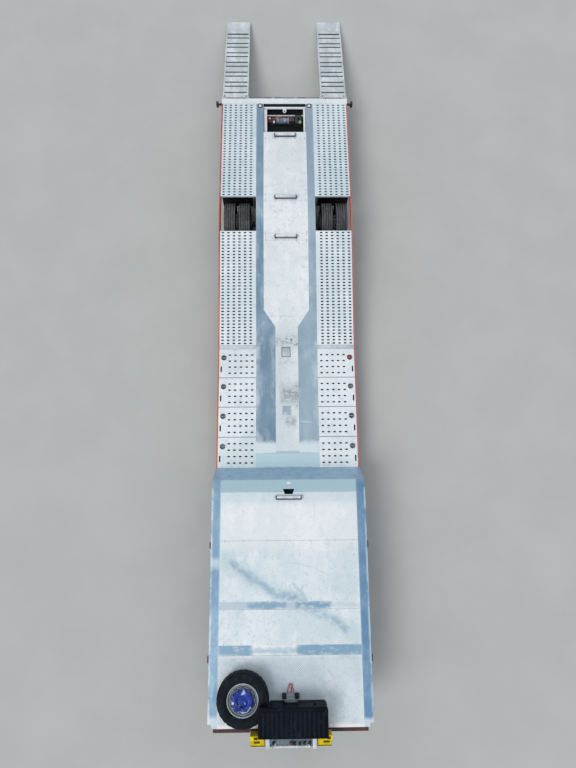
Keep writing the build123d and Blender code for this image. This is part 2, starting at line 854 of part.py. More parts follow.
def front_panel(s0):
    slots = GridLocations(
        (LANE_OUT - LAST_COLUMN - STRIP_OUT - FIRST_COLUMN) / (SLOT_COLUMNS - 1),
        (LAST_ROW - FIRST_ROW) / (SLOT_ROWS - 1),
        SLOT_COLUMNS,
        SLOT_ROWS,
    )
    middle_x = (STRIP_OUT + FIRST_COLUMN + LANE_OUT - LAST_COLUMN) / 2
    middle = Pos(middle_x, s0 + (FIRST_ROW + LAST_ROW) / 2, LOW_Z)
    tools = [middle * place * Box(SLOT_LENGTH, SLOT_WIDTH, 2 * TRAY_DEPTH) for place in slots]
    lash = Pos(LANE_OUT - LASH_EDGE, s0 + LASH_BACK, LOW_Z)
    tools.append(lash * Box(LASH_WIDTH, LASH_LENGTH, TRAY_EDGE))
    centre = Pos(POT_X, s0 + POT_BACK, LOW_Z)
    tools.append(centre * Cylinder(POT_RADIUS, TRAY_EDGE))
    panel = tray(s0, s0 + PANEL_PITCH - PANEL_GAP) - tools
    cup = Cylinder(POT_RADIUS + POT_WALL, POT_DEPTH)
    cup = cup - Pos(0, 0, POT_WALL) * Cylinder(POT_RADIUS, POT_DEPTH)
    return panel + centre * Pos(0, 0, -TRAY_PLATE - POT_DEPTH / 2) * cup


front_panels = []
for index in range(PANELS):
    front_panels += pair(front_panel(STEP_FOOT_S + index * PANEL_PITCH))

# Mid lanes run to the wheel opening, rear lanes from it to the rear beam
PACKING_S = STEP_FOOT_S + PANELS * PANEL_PITCH
MID_S = PACKING_S + PACKING
mid_lanes = pair(tray(PACKING_S, MID_S - PANEL_GAP)) + pair(tray(MID_S, OPENING_FRONT_S))
rear_lanes = pair(tray(OPENING_REAR_S, REAR_BEAM_S))

# Rear beam: box section, with the hinge lugs of the ramps welded to its rear face
FACE_S = REAR_BEAM_S + REAR_SEAT


def tail_outline(inset):
    """Side outline of the rear beam, or of the hollow that leaves its plates."""
    front, rear = FACE_S + inset, REAR_FACE_S - inset
    return [
        (front, deck(front) - inset),
        (rear, deck(rear) - inset),
        (rear, REAR_FOOT_Z + inset),
        (front, REAR_FOOT_Z + inset),
    ]


lug_face = ring(
    [
        (REAR_FACE_S, HINGE_Z + LUG_R),
        (HINGE_S, HINGE_Z + LUG_R),
        (HINGE_S, HINGE_Z - LUG_R),
        (REAR_FACE_S, HINGE_Z - LUG_ROOT),
    ],
    {1: LUG_R},
)
# each cheek of a ramp turns between two lugs: inner faces of the outer and of the inner one
LUG_PAIRS = (
    (RAMP_OUT + LUG_GAP, RAMP_OUT - CHEEK - LUG_GAP - LUG),
    (RAMP_IN + CHEEK + LUG_GAP, RAMP_IN - LUG_GAP - LUG),
)
lugs = []
pins = []
for outer, inner in LUG_PAIRS:
    for x in (outer, inner):
        lug = Pos(x, 0, 0) * extrude(Plane.YZ * lug_face, amount=LUG)
        lugs += pair(lug - rod(x - LUG, x + 2 * LUG, HINGE_S, HINGE_Z, PIN_R))
    pins += pair(rod(inner, outer + LUG, HINGE_S, HINGE_Z, PIN_R))
# the end plates stop short of the foot, so the section drains
end_plate = block(
    HALF_WIDTH - REAR_PLATE,
    HALF_WIDTH,
    FACE_S + REAR_PLATE,
    REAR_FACE_S - REAR_PLATE,
    REAR_FOOT_Z + DRAIN,
    deck(REAR_FACE_S) - REAR_PLATE,
)
rear_section = plate(tail_outline(0), -HALF_WIDTH, HALF_WIDTH)
rear_section = rear_section - plate(tail_outline(REAR_PLATE), -2 * HALF_WIDTH, 2 * HALF_WIDTH)
rear_beam = fused([rear_section, *lugs, *pair(end_plate)])

# Underrun bar on two arms, with the blank number plate and the tail lamps
bar_rear_s = BAR_S + BAR_DEPTH
bar_top_z = BAR_Z + BAR_HEIGHT
bar_half = HALF_WIDTH - BAR_END
bar_arm = plate(
    [
        (REAR_FACE_S, BAR_ARM_TOP_Z),
        (REAR_FACE_S, REAR_FOOT_Z),
        (REAR_FACE_S + BAR_ARM / 2, BAR_Z + BAR_PLATE),
        (BAR_S, BAR_Z + BAR_PLATE),
        (BAR_S, bar_top_z - BAR_PLATE),
    ],
    WEB_X - BAR_ARM / 2,
    WEB_X + BAR_ARM / 2,
)


def bar_tube(inset):
    """Closed bar as long as the underrun bar, its rear corners rounded, drawn in by the inset."""
    tube = block(
        -bar_half - inset, bar_half + inset, BAR_S + inset, bar_rear_s - inset,
        BAR_Z + inset, bar_top_z - inset,
    )
    return rounded(tube, Axis.X, Axis.Y, 2, BAR_CORNER - inset)


underrun_bar = fused([bar_tube(0) - bar_tube(BAR_PLATE), *pair(bar_arm)])
plate_foot = bar_top_z - PLATE_HEIGHT
number_plate = block(
    -PLATE_HALF, PLATE_HALF, bar_rear_s, bar_rear_s + PLATE_SHEET, plate_foot, bar_top_z - PLATE_SHEET
)
tail_lamp = standing(
    bar_half - BAR_CORNER - TAIL_LAMP[0] / 2,
    bar_rear_s + TAIL_LAMP[1] / 2,
    BAR_Z + (BAR_HEIGHT - TAIL_LAMP[2]) / 2,
    TAIL_LAMP,
)
plate_lamp = standing(PLATE_LAMP_X, BAR_S + BAR_DEPTH / 2, bar_top_z, PLATE_LAMP)
tail_lamps = pair(rounded(tail_lamp, Axis.Z, Axis.Y, 2, LAMP_CORNER))
tail_lamps += pair(rounded(plate_lamp, Axis.X, Axis.Z, 2, LAMP_CORNER))

# Marker lamps: lamps on tapered rubber arms at the rear corners, flat lamps along the gooseneck
corner_out = HALF_WIDTH + CORNER_LAMP_REACH
corner_in = corner_out - CORNER_LAMP[0]
corner_arm = extrude(
    make_face(
        Polyline(
            (HALF_WIDTH, CORNER_LAMP_S - CORNER_ARM_ROOT / 2),
            (corner_in, CORNER_LAMP_S - CORNER_ARM_TIP / 2),
            (corner_in, CORNER_LAMP_S + CORNER_ARM_TIP / 2),
            (HALF_WIDTH, CORNER_LAMP_S + CORNER_ARM_ROOT / 2),
            close=True,
        )
    ),
    amount=CORNER_ARM_TIP,
)
corner_body = standing(
    (corner_in + corner_out) / 2, CORNER_LAMP_S, CORNER_LAMP_Z - CORNER_LAMP[2] / 2, CORNER_LAMP
)
corner_body = fillet(corner_body.edges().filter_by(Axis.X), LAMP_CORNER)
corner_lamp = corner_body + Pos(0, 0, CORNER_LAMP_Z - CORNER_ARM_TIP / 2) * corner_arm
marker_lamps = pair(corner_lamp)
for s in (FRONT_SIDE_LAMP_S, REAR_SIDE_LAMP_S):
    side_lamp = standing(
        HALF_WIDTH + SIDE_LAMP[0] / 2, s, GOOSENECK_Z - SIDE_LAMP_DROP - SIDE_LAMP[2] / 2, SIDE_LAMP
    )
    marker_lamps += pair(rounded(side_lamp, Axis.Z, Axis.X, 2, LAMP_CORNER))

# Rear compartment: tray between the beams with side plates, the cross bar and its eye
UNIT_Z = WELL_FLOOR_Z + WELL_PLATE
well_floor = block(-WEB_IN, WEB_IN, WELL_FRONT_S, REAR_BEAM_S, WELL_FLOOR_Z, UNIT_Z)
well_wall = block(
    WELL_HALF,
    WELL_HALF + WELL_PLATE,
    WELL_FRONT_S + UNIT_GAP,
    WELL_FRONT_S + UNIT_GAP + WELL_WALL_REACH,
    UNIT_Z,
    WELL_WALL_TOP_Z,
)
well = fused([well_floor, *pair(well_wall)])
cross_bar = rod(-WEB_IN, WEB_IN, CROSS_BAR_S, CROSS_BAR_Z, CROSS_BAR_R)
eye_s = CROSS_BAR_S - EYE_REACH + EYE_HALF
eye_face = (
    Pos(0, eye_s) * Circle(EYE_HALF)
    + Pos(0, (eye_s + CROSS_BAR_S) / 2) * Rectangle(2 * EYE_HALF, CROSS_BAR_S - eye_s)
    - Pos(0, eye_s) * Circle(EYE_HOLE_R)
)
eye = Pos(0, 0, CROSS_BAR_Z - EYE_PLATE / 2) * extrude(eye_face, amount=EYE_PLATE)
rear_compartment = [well, cross_bar + eye]

# Hydraulic unit: electric motor with its end bells, pump block, oil tank and valve, on the tray
MOTOR_OUTLINE = [
    (0, 0),
    (0, MOTOR_R),
    (MOTOR_LENGTH - MOTOR_R / 2, MOTOR_R),
    (MOTOR_LENGTH - MOTOR_R / 2, MOTOR_R - WELL_PLATE),
    (MOTOR_LENGTH - PIPE_R, MOTOR_R - WELL_PLATE),
    (MOTOR_LENGTH, MOTOR_R / 2),
    (MOTOR_LENGTH, 0),
]
pump = standing(PUMP_X, MOTOR_S, UNIT_Z, PUMP)
motor = turned_x(MOTOR_OUTLINE, PUMP_X - PUMP[0] / 2, MOTOR_S, UNIT_Z + MOTOR_R, -1)
oil_tank = standing(OIL_TANK_X, MOTOR_S, UNIT_Z, OIL_TANK)
oil_tank = fillet(oil_tank.edges().filter_by(Axis.Z), TANK_CORNER)
filler = Pos(OIL_TANK_X, MOTOR_S, UNIT_Z + OIL_TANK[2] + FILLER_HEIGHT / 2) * Cylinder(
    FILLER_R, FILLER_HEIGHT
)
valve = standing(VALVE_X, MOTOR_S, UNIT_Z, VALVE)
solenoids = [
    Pos(VALVE_X + side * VALVE[0] / 4, MOTOR_S, UNIT_Z + VALVE[2] + SOLENOID_LENGTH / 2)
    * Cylinder(SOLENOID_R, SOLENOID_LENGTH)
    for side in (1, -1)
]
pipe = rod(-WELL_HALF, WELL_HALF, PIPE_S, UNIT_Z + MOTOR_R, PIPE_R)
hydraulic_unit = [motor + pump, oil_tank + filler, fused([valve, *solenoids]), pipe]

# Rope rollers between small ears, on the centre covers and on the gooseneck
roller_half = STRIP_IN - ROLLER_INSET
rollers = []
brackets = []
for line, s in (
    (LOW_LINE, ROLLER_TAIL_S),
    (LOW_LINE, ROLLER_REAR_S),
    (LOW_LINE, ROLLER_MID_S),
    (TOP_LINE, ROLLER_FRONT_S),
):
    z = line_z(line, s)
    rollers.append(rod(-roller_half, roller_half, s, z + ROLLER_LIFT, ROLLER_R))
    ear = plate(
        [
            (s - EAR_FOOT, line_z(line, s - EAR_FOOT)),
            (s + EAR_FOOT, line_z(line, s + EAR_FOOT)),
            (s + EAR_SHOULDER[0], z + EAR_SHOULDER[1]),
            (s + EAR_HEAD[0], z + EAR_HEAD[1]),
            (s - EAR_HEAD[0], z + EAR_HEAD[1]),
            (s - EAR_SHOULDER[0], z + EAR_SHOULDER[1]),
        ],
        roller_half,
        roller_half + EAR,
    )
    guard_z = z + GUARD_Z
    guard_top = guard_z + GUARD_HEIGHT
    guard = block(
        -roller_half - EAR, roller_half + EAR, s - GUARD_REACH, s - EAR_FOOT, guard_z, guard_top
    )
    stay = block(roller_half, roller_half + EAR, s - GUARD_REACH, s - EAR_FOOT / 2, guard_z, guard_top)
    brackets.append(fused([guard, *pair(ear), *pair(stay)]))

# Coupler plate and kingpin
coupler_plate = block(
    -STRIP_OUT, STRIP_OUT, PLATE_FRONT_S, PLATE_REAR_S, COUPLER_Z, COUPLER_Z + COUPLER_PLATE
)
KINGPIN_OUTLINE = [
    (0, COUPLER_Z),
    (KINGPIN_COLLAR_R, COUPLER_Z),
    (KINGPIN_COLLAR_R, COUPLER_Z - KINGPIN_COLLAR),
    (KINGPIN_NECK_R, COUPLER_Z - KINGPIN_COLLAR),
    (KINGPIN_NECK_R, COUPLER_Z - KINGPIN_COLLAR - KINGPIN_NECK),
    (KINGPIN_COLLAR_R, COUPLER_Z - KINGPIN_COLLAR - KINGPIN_NECK),
    (KINGPIN_COLLAR_R, COUPLER_Z - KINGPIN_LENGTH),
    (0, COUPLER_Z - KINGPIN_LENGTH),
]


def turned_z(points, x, s, z):
    """Turn an outline of (radius, height) about an upright axis."""
    face = Plane.XZ * make_face(Polyline(*points, close=True))
    return Pos(x, s, z) * revolve(face, Axis.Z, 360)


kingpin = turned_z(KINGPIN_OUTLINE, 0, KINGPIN_S, 0)


# Landing legs: outer tubes with brackets to the beams, sliding inner tubes with feet, cross shaft
def leg_column(side, foot, head):
    return block(LEG_X - side / 2, LEG_X + side / 2, LEG_S - side / 2, LEG_S + side / 2, foot, head)


leg_bore = leg_column(FOOT_TUBE + 2 * LEG_FIT, LEG_FOOT_Z - LEG_SIDE, LEG_TOP_Z - LEG_CAP)
leg_tube = leg_column(LEG_SIDE, LEG_FOOT_Z, LEG_TOP_Z) - leg_bore
leg_bracket = block(
    WEB_OUT, LEG_X - LEG_SIDE / 2, LEG_S - HANGER_HALF, LEG_S + HANGER_HALF, BRACKET_FOOT_Z,
    LEG_TOP_Z - LEG_CAP,
)
gear_box = standing(LEG_X, SHAFT_S, SHAFT_Z - GEAR_BOX[2] / 2, GEAR_BOX)
landing_legs = pair(fused([leg_tube, leg_bracket, fillet(gear_box.edges().filter_by(Axis.Z), LEG_CAP)]))
gear_in = LEG_X - GEAR_BOX[0] / 2
gear_out = LEG_X + GEAR_BOX[0] / 2
crank_x = gear_out + CRANK_REACH
crank = fused(
    [
        rod(gear_out, crank_x, SHAFT_S, SHAFT_Z, CRANK_R),
        block(
            crank_x - 2 * CRANK_R, crank_x, SHAFT_S - CRANK_R, SHAFT_S + CRANK_R,
            SHAFT_Z - CRANK_DROP, SHAFT_Z,
        ),
        rod(crank_x - CRANK_R, crank_x + CRANK_GRIP, SHAFT_S, SHAFT_Z - CRANK_DROP, CRANK_GRIP_R),
    ]
)
landing_shaft = [rod(-gear_in, gear_in, SHAFT_S, SHAFT_Z, SHAFT_R), crank]
foot_pad = plate(
    [
        (LEG_S - FOOT_HALF, FOOT_RISE),
        (LEG_S - FOOT_HALF + FOOT_TIP, 0),
        (LEG_S + FOOT_HALF - FOOT_TIP, 0),
        (LEG_S + FOOT_HALF, FOOT_RISE),
        (LEG_S + FOOT_HALF, FOOT_SHEET),
        (LEG_S - FOOT_HALF, FOOT_SHEET),
    ],
    LEG_X - FOOT_WIDTH / 2,
    LEG_X + FOOT_WIDTH / 2,
)
landing_feet = pair(leg_column(FOOT_TUBE + 2 * LEG_FIT, FOOT_SHEET, FOOT_TOP_Z) + foot_pad)

# Front beam: hollow, with a lug at each end, and the front frame with its shelf and two tubes
beam_half = HALF_WIDTH - BEAM_END
beam_tube = block(
    -beam_half, beam_half, -FRONT_BEAM_DEPTH, 0, FRONT_BEAM_FOOT_Z, FRONT_BEAM_TOP_Z
) - block(
    -HALF_WIDTH, HALF_WIDTH, MEMBER_WALL - FRONT_BEAM_DEPTH, -MEMBER_WALL,
    FRONT_BEAM_FOOT_Z + MEMBER_WALL, FRONT_BEAM_TOP_Z - MEMBER_WALL,
)
beam_lug = block(
    beam_half - BEAM_LUG, beam_half, -FRONT_BEAM_DEPTH, 0, FRONT_BEAM_FOOT_Z - BEAM_LUG_DROP,
    FRONT_BEAM_FOOT_Z,
)
front_beam = fused([beam_tube, *pair(beam_lug)])
frame_face = make_face(
    Polyline(
        (-FRONT_BEAM_DEPTH, FRAME_ROOT_Z),
        (-FRONT_BEAM_DEPTH, FRAME_TOP_Z),
        (FRAME_FRONT_S + FRAME_CORNER, FRAME_TOP_Z),
        (FRAME_FRONT_S, FRAME_TOP_Z - FRAME_CORNER),
        (FRAME_FRONT_S, FRAME_NOSE_Z),
        (FRAME_HEEL_S, FRAME_ROOT_Z),
        close=True,
    )
)
frame_dish = extrude(Plane.YZ * frame_face, amount=FRAME_RIM) - extrude(
    Plane.YZ * offset(frame_face, -FRAME_PLATE), amount=FRAME_RIM - FRAME_PLATE
)
frame_web = FRAME_X - FRAME_PLATE / 2
tube_s = FRAME_FRONT_S + TUBE_BACK
front_frame = fused(
    [
        *pair(Pos(FRAME_X - FRAME_RIM, 0, 0) * frame_dish),
        block(-frame_web, frame_web, SHELF_FRONT_S, SHELF_REAR_S, SHELF_Z, SHELF_Z + FRAME_PLATE),
        block(
            -frame_web, frame_web, SHELF_REAR_S - FRAME_PLATE, SHELF_REAR_S, FRAME_NOSE_Z, SHELF_Z
        ),
        rod(-frame_web, frame_web, tube_s, TOP_TUBE_Z, TOP_TUBE_R),
        rod(-frame_web, frame_web, tube_s, LOW_TUBE_Z, LOW_TUBE_R),
    ]
)

# Wheel chocks: each stands on its heel, its hollow tyre face to the front, ribbed inside, in a
# holder on the front beam
chock_rear_s = COVER_FRONT_S - CHOCK_FIT
chock_front_s = chock_rear_s - CHOCK_DEPTH
chock_in = CHOCK_X - CHOCK_WIDTH / 2
chock_out = CHOCK_X + CHOCK_WIDTH / 2
holder_front_s = chock_front_s - CHOCK_FIT
holder = fused(
    [
        block(
            chock_in - CHOCK_FIT, chock_out + CHOCK_FIT, holder_front_s - HOLDER_SHEET,
            chock_rear_s + CHOCK_FIT, HOLDER_Z - HOLDER_SHEET, HOLDER_Z,
        ),
        block(
            chock_in - CHOCK_FIT, chock_out + CHOCK_FIT, holder_front_s - HOLDER_SHEET,
            holder_front_s, HOLDER_Z, HOLDER_Z + HOLDER_LIP,
        ),
        block(
            CHOCK_X - HOLDER_STEM / 2, CHOCK_X + HOLDER_STEM / 2, chock_front_s,
            -FRONT_BEAM_DEPTH, HOLDER_STEM_Z, HOLDER_Z - HOLDER_SHEET,
        ),
    ]
)
chock_holders = pair(holder)
chock_face = ring(
    [
        (chock_rear_s, HOLDER_Z),
        (chock_rear_s, HOLDER_Z + CHOCK_HEIGHT),
        (chock_rear_s - CHOCK_TOP, HOLDER_Z + CHOCK_HEIGHT),
        (chock_front_s, HOLDER_Z + CHOCK_TOE),
        (chock_front_s, HOLDER_Z),
    ],
    {2: CHOCK_HOLLOW},
)
chock_body = Pos(chock_in, 0, 0) * extrude(Plane.YZ * chock_face, amount=CHOCK_WIDTH)
pocket_width = (CHOCK_WIDTH - 3 * CHOCK_WALL) / 2
chock_pocket = extrude(Plane.YZ * offset(chock_face, -CHOCK_WALL), amount=pocket_width)
pockets = [
    Pos(chock_in + CHOCK_WALL + index * (pocket_width + CHOCK_WALL), 0, -CHOCK_WALL) * chock_pocket
    for index in range(2)
]
wheel_chocks = pair(chock_body - pockets)

# Winch: plain block under its moulded cover
winch_block = standing(COVER_X, WINCH_S + WINCH[1] / 2, GOOSENECK_Z, WINCH)
cover_top_z = GOOSENECK_Z + COVER_HEIGHT
cover_x0 = COVER_X - COVER_WIDTH / 2


def cover_body(inset, base, head):
    """Cover with rounded rear corners and rounded top edges, drawn in by the inset."""
    body = block(
        cover_x0 + inset, cover_x0 + COVER_WIDTH - inset, COVER_FRONT_S + inset,
        COVER_REAR_S - inset, base, head - inset,
    )
    body = rounded(body, Axis.Z, Axis.Y, 2, COVER_CORNER - inset)
    return fillet(body.faces().sort_by(Axis.Z)[-1].edges(), COVER_EDGE - inset)


cover = cover_body(0, GOOSENECK_Z, cover_top_z) - cover_body(COVER_WALL, STEP_TOP_Z, cover_top_z)
spare_notch = Pos(SPARE_X, SPARE_S, GOOSENECK_Z) * Cylinder(
    TYRE_R + SPARE_ROOM, 4 * TYRE_HALF + 2 * SPARE_ROOM
)
mouth = block(
    MOUTH_X - MOUTH_HALF, MOUTH_X + MOUTH_HALF, COVER_REAR_S - COVER_CORNER,
    COVER_REAR_S + COVER_CORNER, STEP_TOP_Z, GOOSENECK_Z + MOUTH_HEIGHT,
)
rib_pitch = (COVER_WIDTH - 2 * RIB_INSET) / RIBS
rib_length = COVER_REAR_S - COVER_FRONT_S - RIB_FRONT - RIB_REAR
rib_s = COVER_FRONT_S + RIB_FRONT + rib_length / 2
rib = extrude(Rectangle(RIB_SHARE * rib_pitch, rib_length), amount=RIB_HEIGHT, taper=RIB_DRAFT)
cover = fused(
    [
        cover - spare_notch - mouth,
        *[
            Pos(cover_x0 + RIB_INSET + (index + 0.5) * rib_pitch, rib_s, cover_top_z) * rib
            for index in range(RIBS)
        ],
    ]
)

# Fairlead with its two upright rollers, and the hook lying at its mouth
fair_rear_s = FAIR_S + FAIR_PLATE
fair_plate = block(
    FAIR_X - FAIR_HALF, FAIR_X + FAIR_HALF, FAIR_S, fair_rear_s, GOOSENECK_Z,
    GOOSENECK_Z + FAIR_HEIGHT,
)
fair_mouth = Plane.XZ * RectangleRounded(*FAIR_MOUTH, FAIR_MOUTH[1] / 3)
fair_mouth = Pos(FAIR_X, fair_rear_s + FAIR_PLATE, GOOSENECK_Z + FAIR_HEIGHT / 2) * extrude(
    fair_mouth, amount=3 * FAIR_PLATE
)
fairlead = fused(
    [
        rounded(fair_plate, Axis.Y, Axis.Z, 2, FAIR_CORNER) - fair_mouth,
        block(
            FAIR_X - FAIR_HALF, FAIR_X + FAIR_HALF, fair_rear_s, FAIR_S + FAIR_FOOT, GOOSENECK_Z,
            GOOSENECK_Z + COVER_WALL,
        ),
        *[
            Pos(
                FAIR_X + side * FAIR_ROLLER_X,
                (fair_rear_s + FAIR_S + FAIR_FOOT) / 2,
                GOOSENECK_Z + FAIR_HEIGHT / 2,
            )
            * Cylinder(FAIR_ROLLER_R, FAIR_HEIGHT - FAIR_PLATE)
            for side in (1, -1)
        ],
    ]
)
bowl_s = HOOK_S + HOOK_SHANK
shank = make_face(
    Polyline(
        (-HOOK_HALF, HOOK_S), (HOOK_HALF, HOOK_S), (HOOK_R, bowl_s), (HOOK_THROAT_R, bowl_s),
        close=True,
    )
)
bowl = Pos(0, bowl_s) * (Circle(HOOK_R) - Circle(HOOK_THROAT_R))
bill_gap = Pos(-HOOK_R / 2, bowl_s - HOOK_R / 2) * Rectangle(HOOK_R, HOOK_R)
hook_eye = Pos(0, HOOK_S) * (Circle(HOOK_HALF + HOOK_EYE_WALL) - Circle(HOOK_EYE_R))
shank = shank - Pos(0, HOOK_S) * Circle(HOOK_EYE_R)
bowl = bowl - Pos(HOOK_R / 2, bowl_s - HOOK_R / 2) * Rectangle(HOOK_R, HOOK_R) - bill_gap
hook_flat = extrude(bowl, amount=HOOK_SHEET) + extrude(shank + hook_eye, amount=HOOK_SHEET)
winch_hook = [Pos(FAIR_X, 0, GOOSENECK_Z) * hook_flat]

# Wheels: rims with hand holes, their discs bolted back to back, and tyres
RIM_OUTLINE = [
    (-RIM_HALF, FLANGE_R),
    (-BEAD_HALF, FLANGE_R),
    (-BEAD_HALF, BEAD_R),
    (-WELL_X, WELL_R),
    (WELL_X, WELL_R),
    (BEAD_HALF, BEAD_R),
    (BEAD_HALF, FLANGE_R),
    (RIM_HALF, FLANGE_R),
    (RIM_HALF, BEAD_R - RIM_WALL),
    (WELL_X, WELL_R - RIM_WALL),
    (-WELL_X, WELL_R - RIM_WALL),
    (-RIM_HALF, BEAD_R - RIM_WALL),
]
disc_face = MOUNT_X - WHEEL_IN_X
DISC_OUTLINE = [
    (DISC_ROOT, WELL_R - RIM_WALL / 2),
    (disc_face - DISC, DISC_FLAT_R),
    (disc_face - DISC, DISC_BORE_R),
    (disc_face, DISC_BORE_R),
    (disc_face, DISC_FLAT_R + RIM_WALL / 2),
    (DISC_ROOT + DISC, WELL_R - RIM_WALL / 2),
]
TYRE_OUTLINE = [
    (-BEAD_HALF, BEAD_R),
    (-BEAD_HALF, FLANGE_R),
    (-RIM_HALF, FLANGE_R),
    (-TYRE_HALF, BULGE_R),
    (-SHOULDER_HALF, SHOULDER_R),
    (-TREAD_HALF, TYRE_R),
    (TREAD_HALF, TYRE_R),
    (SHOULDER_HALF, SHOULDER_R),
    (TYRE_HALF, BULGE_R),
    (RIM_HALF, FLANGE_R),
    (BEAD_HALF, FLANGE_R),
    (BEAD_HALF, BEAD_R),
]


def rim(x, s, z, facing):
    barrel = turned_x(RIM_OUTLINE, 0, 0, 0) + turned_x(DISC_OUTLINE, 0, 0, 0)
    drill = rod(DISC_ROOT, disc_face + DISC, 0, HAND_RING_R, HAND_HOLE_R)
    holes = [Rot(index * 360 / HAND_HOLES, 0, 0) * drill for index in range(HAND_HOLES)]
    wheel = barrel - holes
    if facing < 0:
        wheel = mirrored(wheel)
    return Pos(x, s, z) * wheel


spare_place = Pos(SPARE_X, SPARE_S, GOOSENECK_Z + TYRE_HALF) * Rot(0, 90, 0)
spare_rim = spare_place * rim(0, 0, 0, -1)
spare_tyre = spare_place * turned_x(TYRE_OUTLINE, 0, 0, 0)

# Axle with its brake chambers
axle_tube = MOUNT_X - AXLE_END
spindle = MOUNT_X + SPINDLE_REACH
chamber = Pos(CHAMBER_X, AXLE_S + CHAMBER_BACK, TYRE_R) * Rot(90, 0, 0)
chamber_bracket = block(
    CHAMBER_X - BRACKET_HALF, CHAMBER_X + BRACKET_HALF, AXLE_S + SPINDLE_R,
    AXLE_S + CHAMBER_BACK - CHAMBER_LENGTH / 2 + BRACKET_HALF / 2, TYRE_R - BRACKET_HALF,
    TYRE_R + BRACKET_HALF,
)
axle_beam = fused(
    [
        rod(-axle_tube, axle_tube, AXLE_S, TYRE_R, AXLE_R),
        rod(-spindle, spindle, AXLE_S, TYRE_R, SPINDLE_R),
        *pair(chamber * Cylinder(CHAMBER_R, CHAMBER_LENGTH) + chamber_bracket),
    ]
)

# Hub with its brake drum, as (distance from the mounting face, radius)
HUB_OUTLINE = [
    (-DRUM_REACH, DRUM_R),
    (-DRUM_END, DRUM_R),
    (-HUB_SHOULDER, HUB_R),
    (-DISC, HUB_R),
    (-DISC, DISC_BORE_R - HUB_FIT),
    (HUB_CAP_REACH, HUB_CAP_R),
    (HUB_CAP_REACH, 0),
    (HUB_CAP_REACH - HUB_CAP_WALL, 0),
    (HUB_CAP_REACH - HUB_CAP_WALL, HUB_BORE_R),
    (-HUB_CORE_REACH, HUB_BORE_R),
    (-HUB_CORE_REACH, HUB_CORE_R),
    (-DRUM_END - RIM_WALL, HUB_CORE_R),
    (-DRUM_END - RIM_WALL, DRUM_R - DRUM_WALL),
    (-DRUM_REACH, DRUM_R - DRUM_WALL),
]
tyres_left = [turned_x(TYRE_OUTLINE, x, AXLE_S, TYRE_R) for x in (WHEEL_OUT_X, WHEEL_IN_X)]
rims_left = [rim(WHEEL_OUT_X, AXLE_S, TYRE_R, -1), rim(WHEEL_IN_X, AXLE_S, TYRE_R, 1)]
hub_left = turned_x(HUB_OUTLINE, MOUNT_X, AXLE_S, TYRE_R)

# Suspension: hanger brackets with pins, trailing arms with the axle saddles, air springs
arm_top_z = TYRE_R - AXLE_R - ARM_SEAT
arm_bar = block(
    WEB_X - ARM_HALF, WEB_X + ARM_HALF, PIVOT_S - ARM_NOSE, AXLE_S + ARM_TAIL,
    arm_top_z - ARM_BAR, arm_top_z,
)
arm_bar = rounded(arm_bar, Axis.X, Axis.Y, 2, LEG_CAP)
saddle_half = ARM_HALF + SADDLE_LIP
saddle = block(
    WEB_X - saddle_half, WEB_X + saddle_half, AXLE_S - SADDLE_HALF, AXLE_S + SADDLE_HALF,
    arm_top_z, TYRE_R,
)
arm = (
    arm_bar
    + (saddle - rod(WEB_X - LEG_SIDE, WEB_X + LEG_SIDE, AXLE_S, TYRE_R, AXLE_R))
    - rod(WEB_X - LEG_SIDE, WEB_X + LEG_SIDE, PIVOT_S, PIVOT_Z, PIVOT_R)
)
hanger_in = ARM_HALF + HANGER_GAP
hanger_out = hanger_in + HANGER_PLATE
hanger_cheek = plate(
    [
        (PIVOT_S - HANGER_HALF, ARCH_Z),
        (PIVOT_S - HANGER_HALF, PIVOT_Z),
        (PIVOT_S - HANGER_HALF / 2, PIVOT_Z - HANGER_FOOT),
        (PIVOT_S + HANGER_HALF / 2, PIVOT_Z - HANGER_FOOT),
        (PIVOT_S + HANGER_HALF, PIVOT_Z),
        (PIVOT_S + HANGER_HALF, ARCH_Z),
    ],
    0,
    HANGER_PLATE,
)
hanger_web = block(
    WEB_X - hanger_in, WEB_X + hanger_in, PIVOT_S - HANGER_HALF,
    PIVOT_S - HANGER_HALF + HANGER_PLATE, PIVOT_Z, ARCH_Z,
)
pivot_pin = rod(WEB_X - hanger_out, WEB_X + hanger_out, PIVOT_S, PIVOT_Z, PIVOT_R)
hanger = fused(
    [
        Pos(WEB_X + hanger_in, 0, 0) * hanger_cheek,
        Pos(WEB_X - hanger_out, 0, 0) * hanger_cheek,
        hanger_web,
    ]
) - rod(WEB_X - LEG_SIDE, WEB_X + LEG_SIDE, PIVOT_S, PIVOT_Z, PIVOT_R)
spring_height = ARCH_Z - arm_top_z
SPRING_OUTLINE = [(0, 0), (PISTON_R, 0)]
SPRING_OUTLINE += [(radius, share * spring_height) for radius, share in SPRING_SHAPE]
SPRING_OUTLINE += [(SPRING_TOP_R, spring_height), (0, spring_height)]
air_spring = turned_z(SPRING_OUTLINE, WEB_X, AXLE_S + SPRING_BACK, arm_top_z)

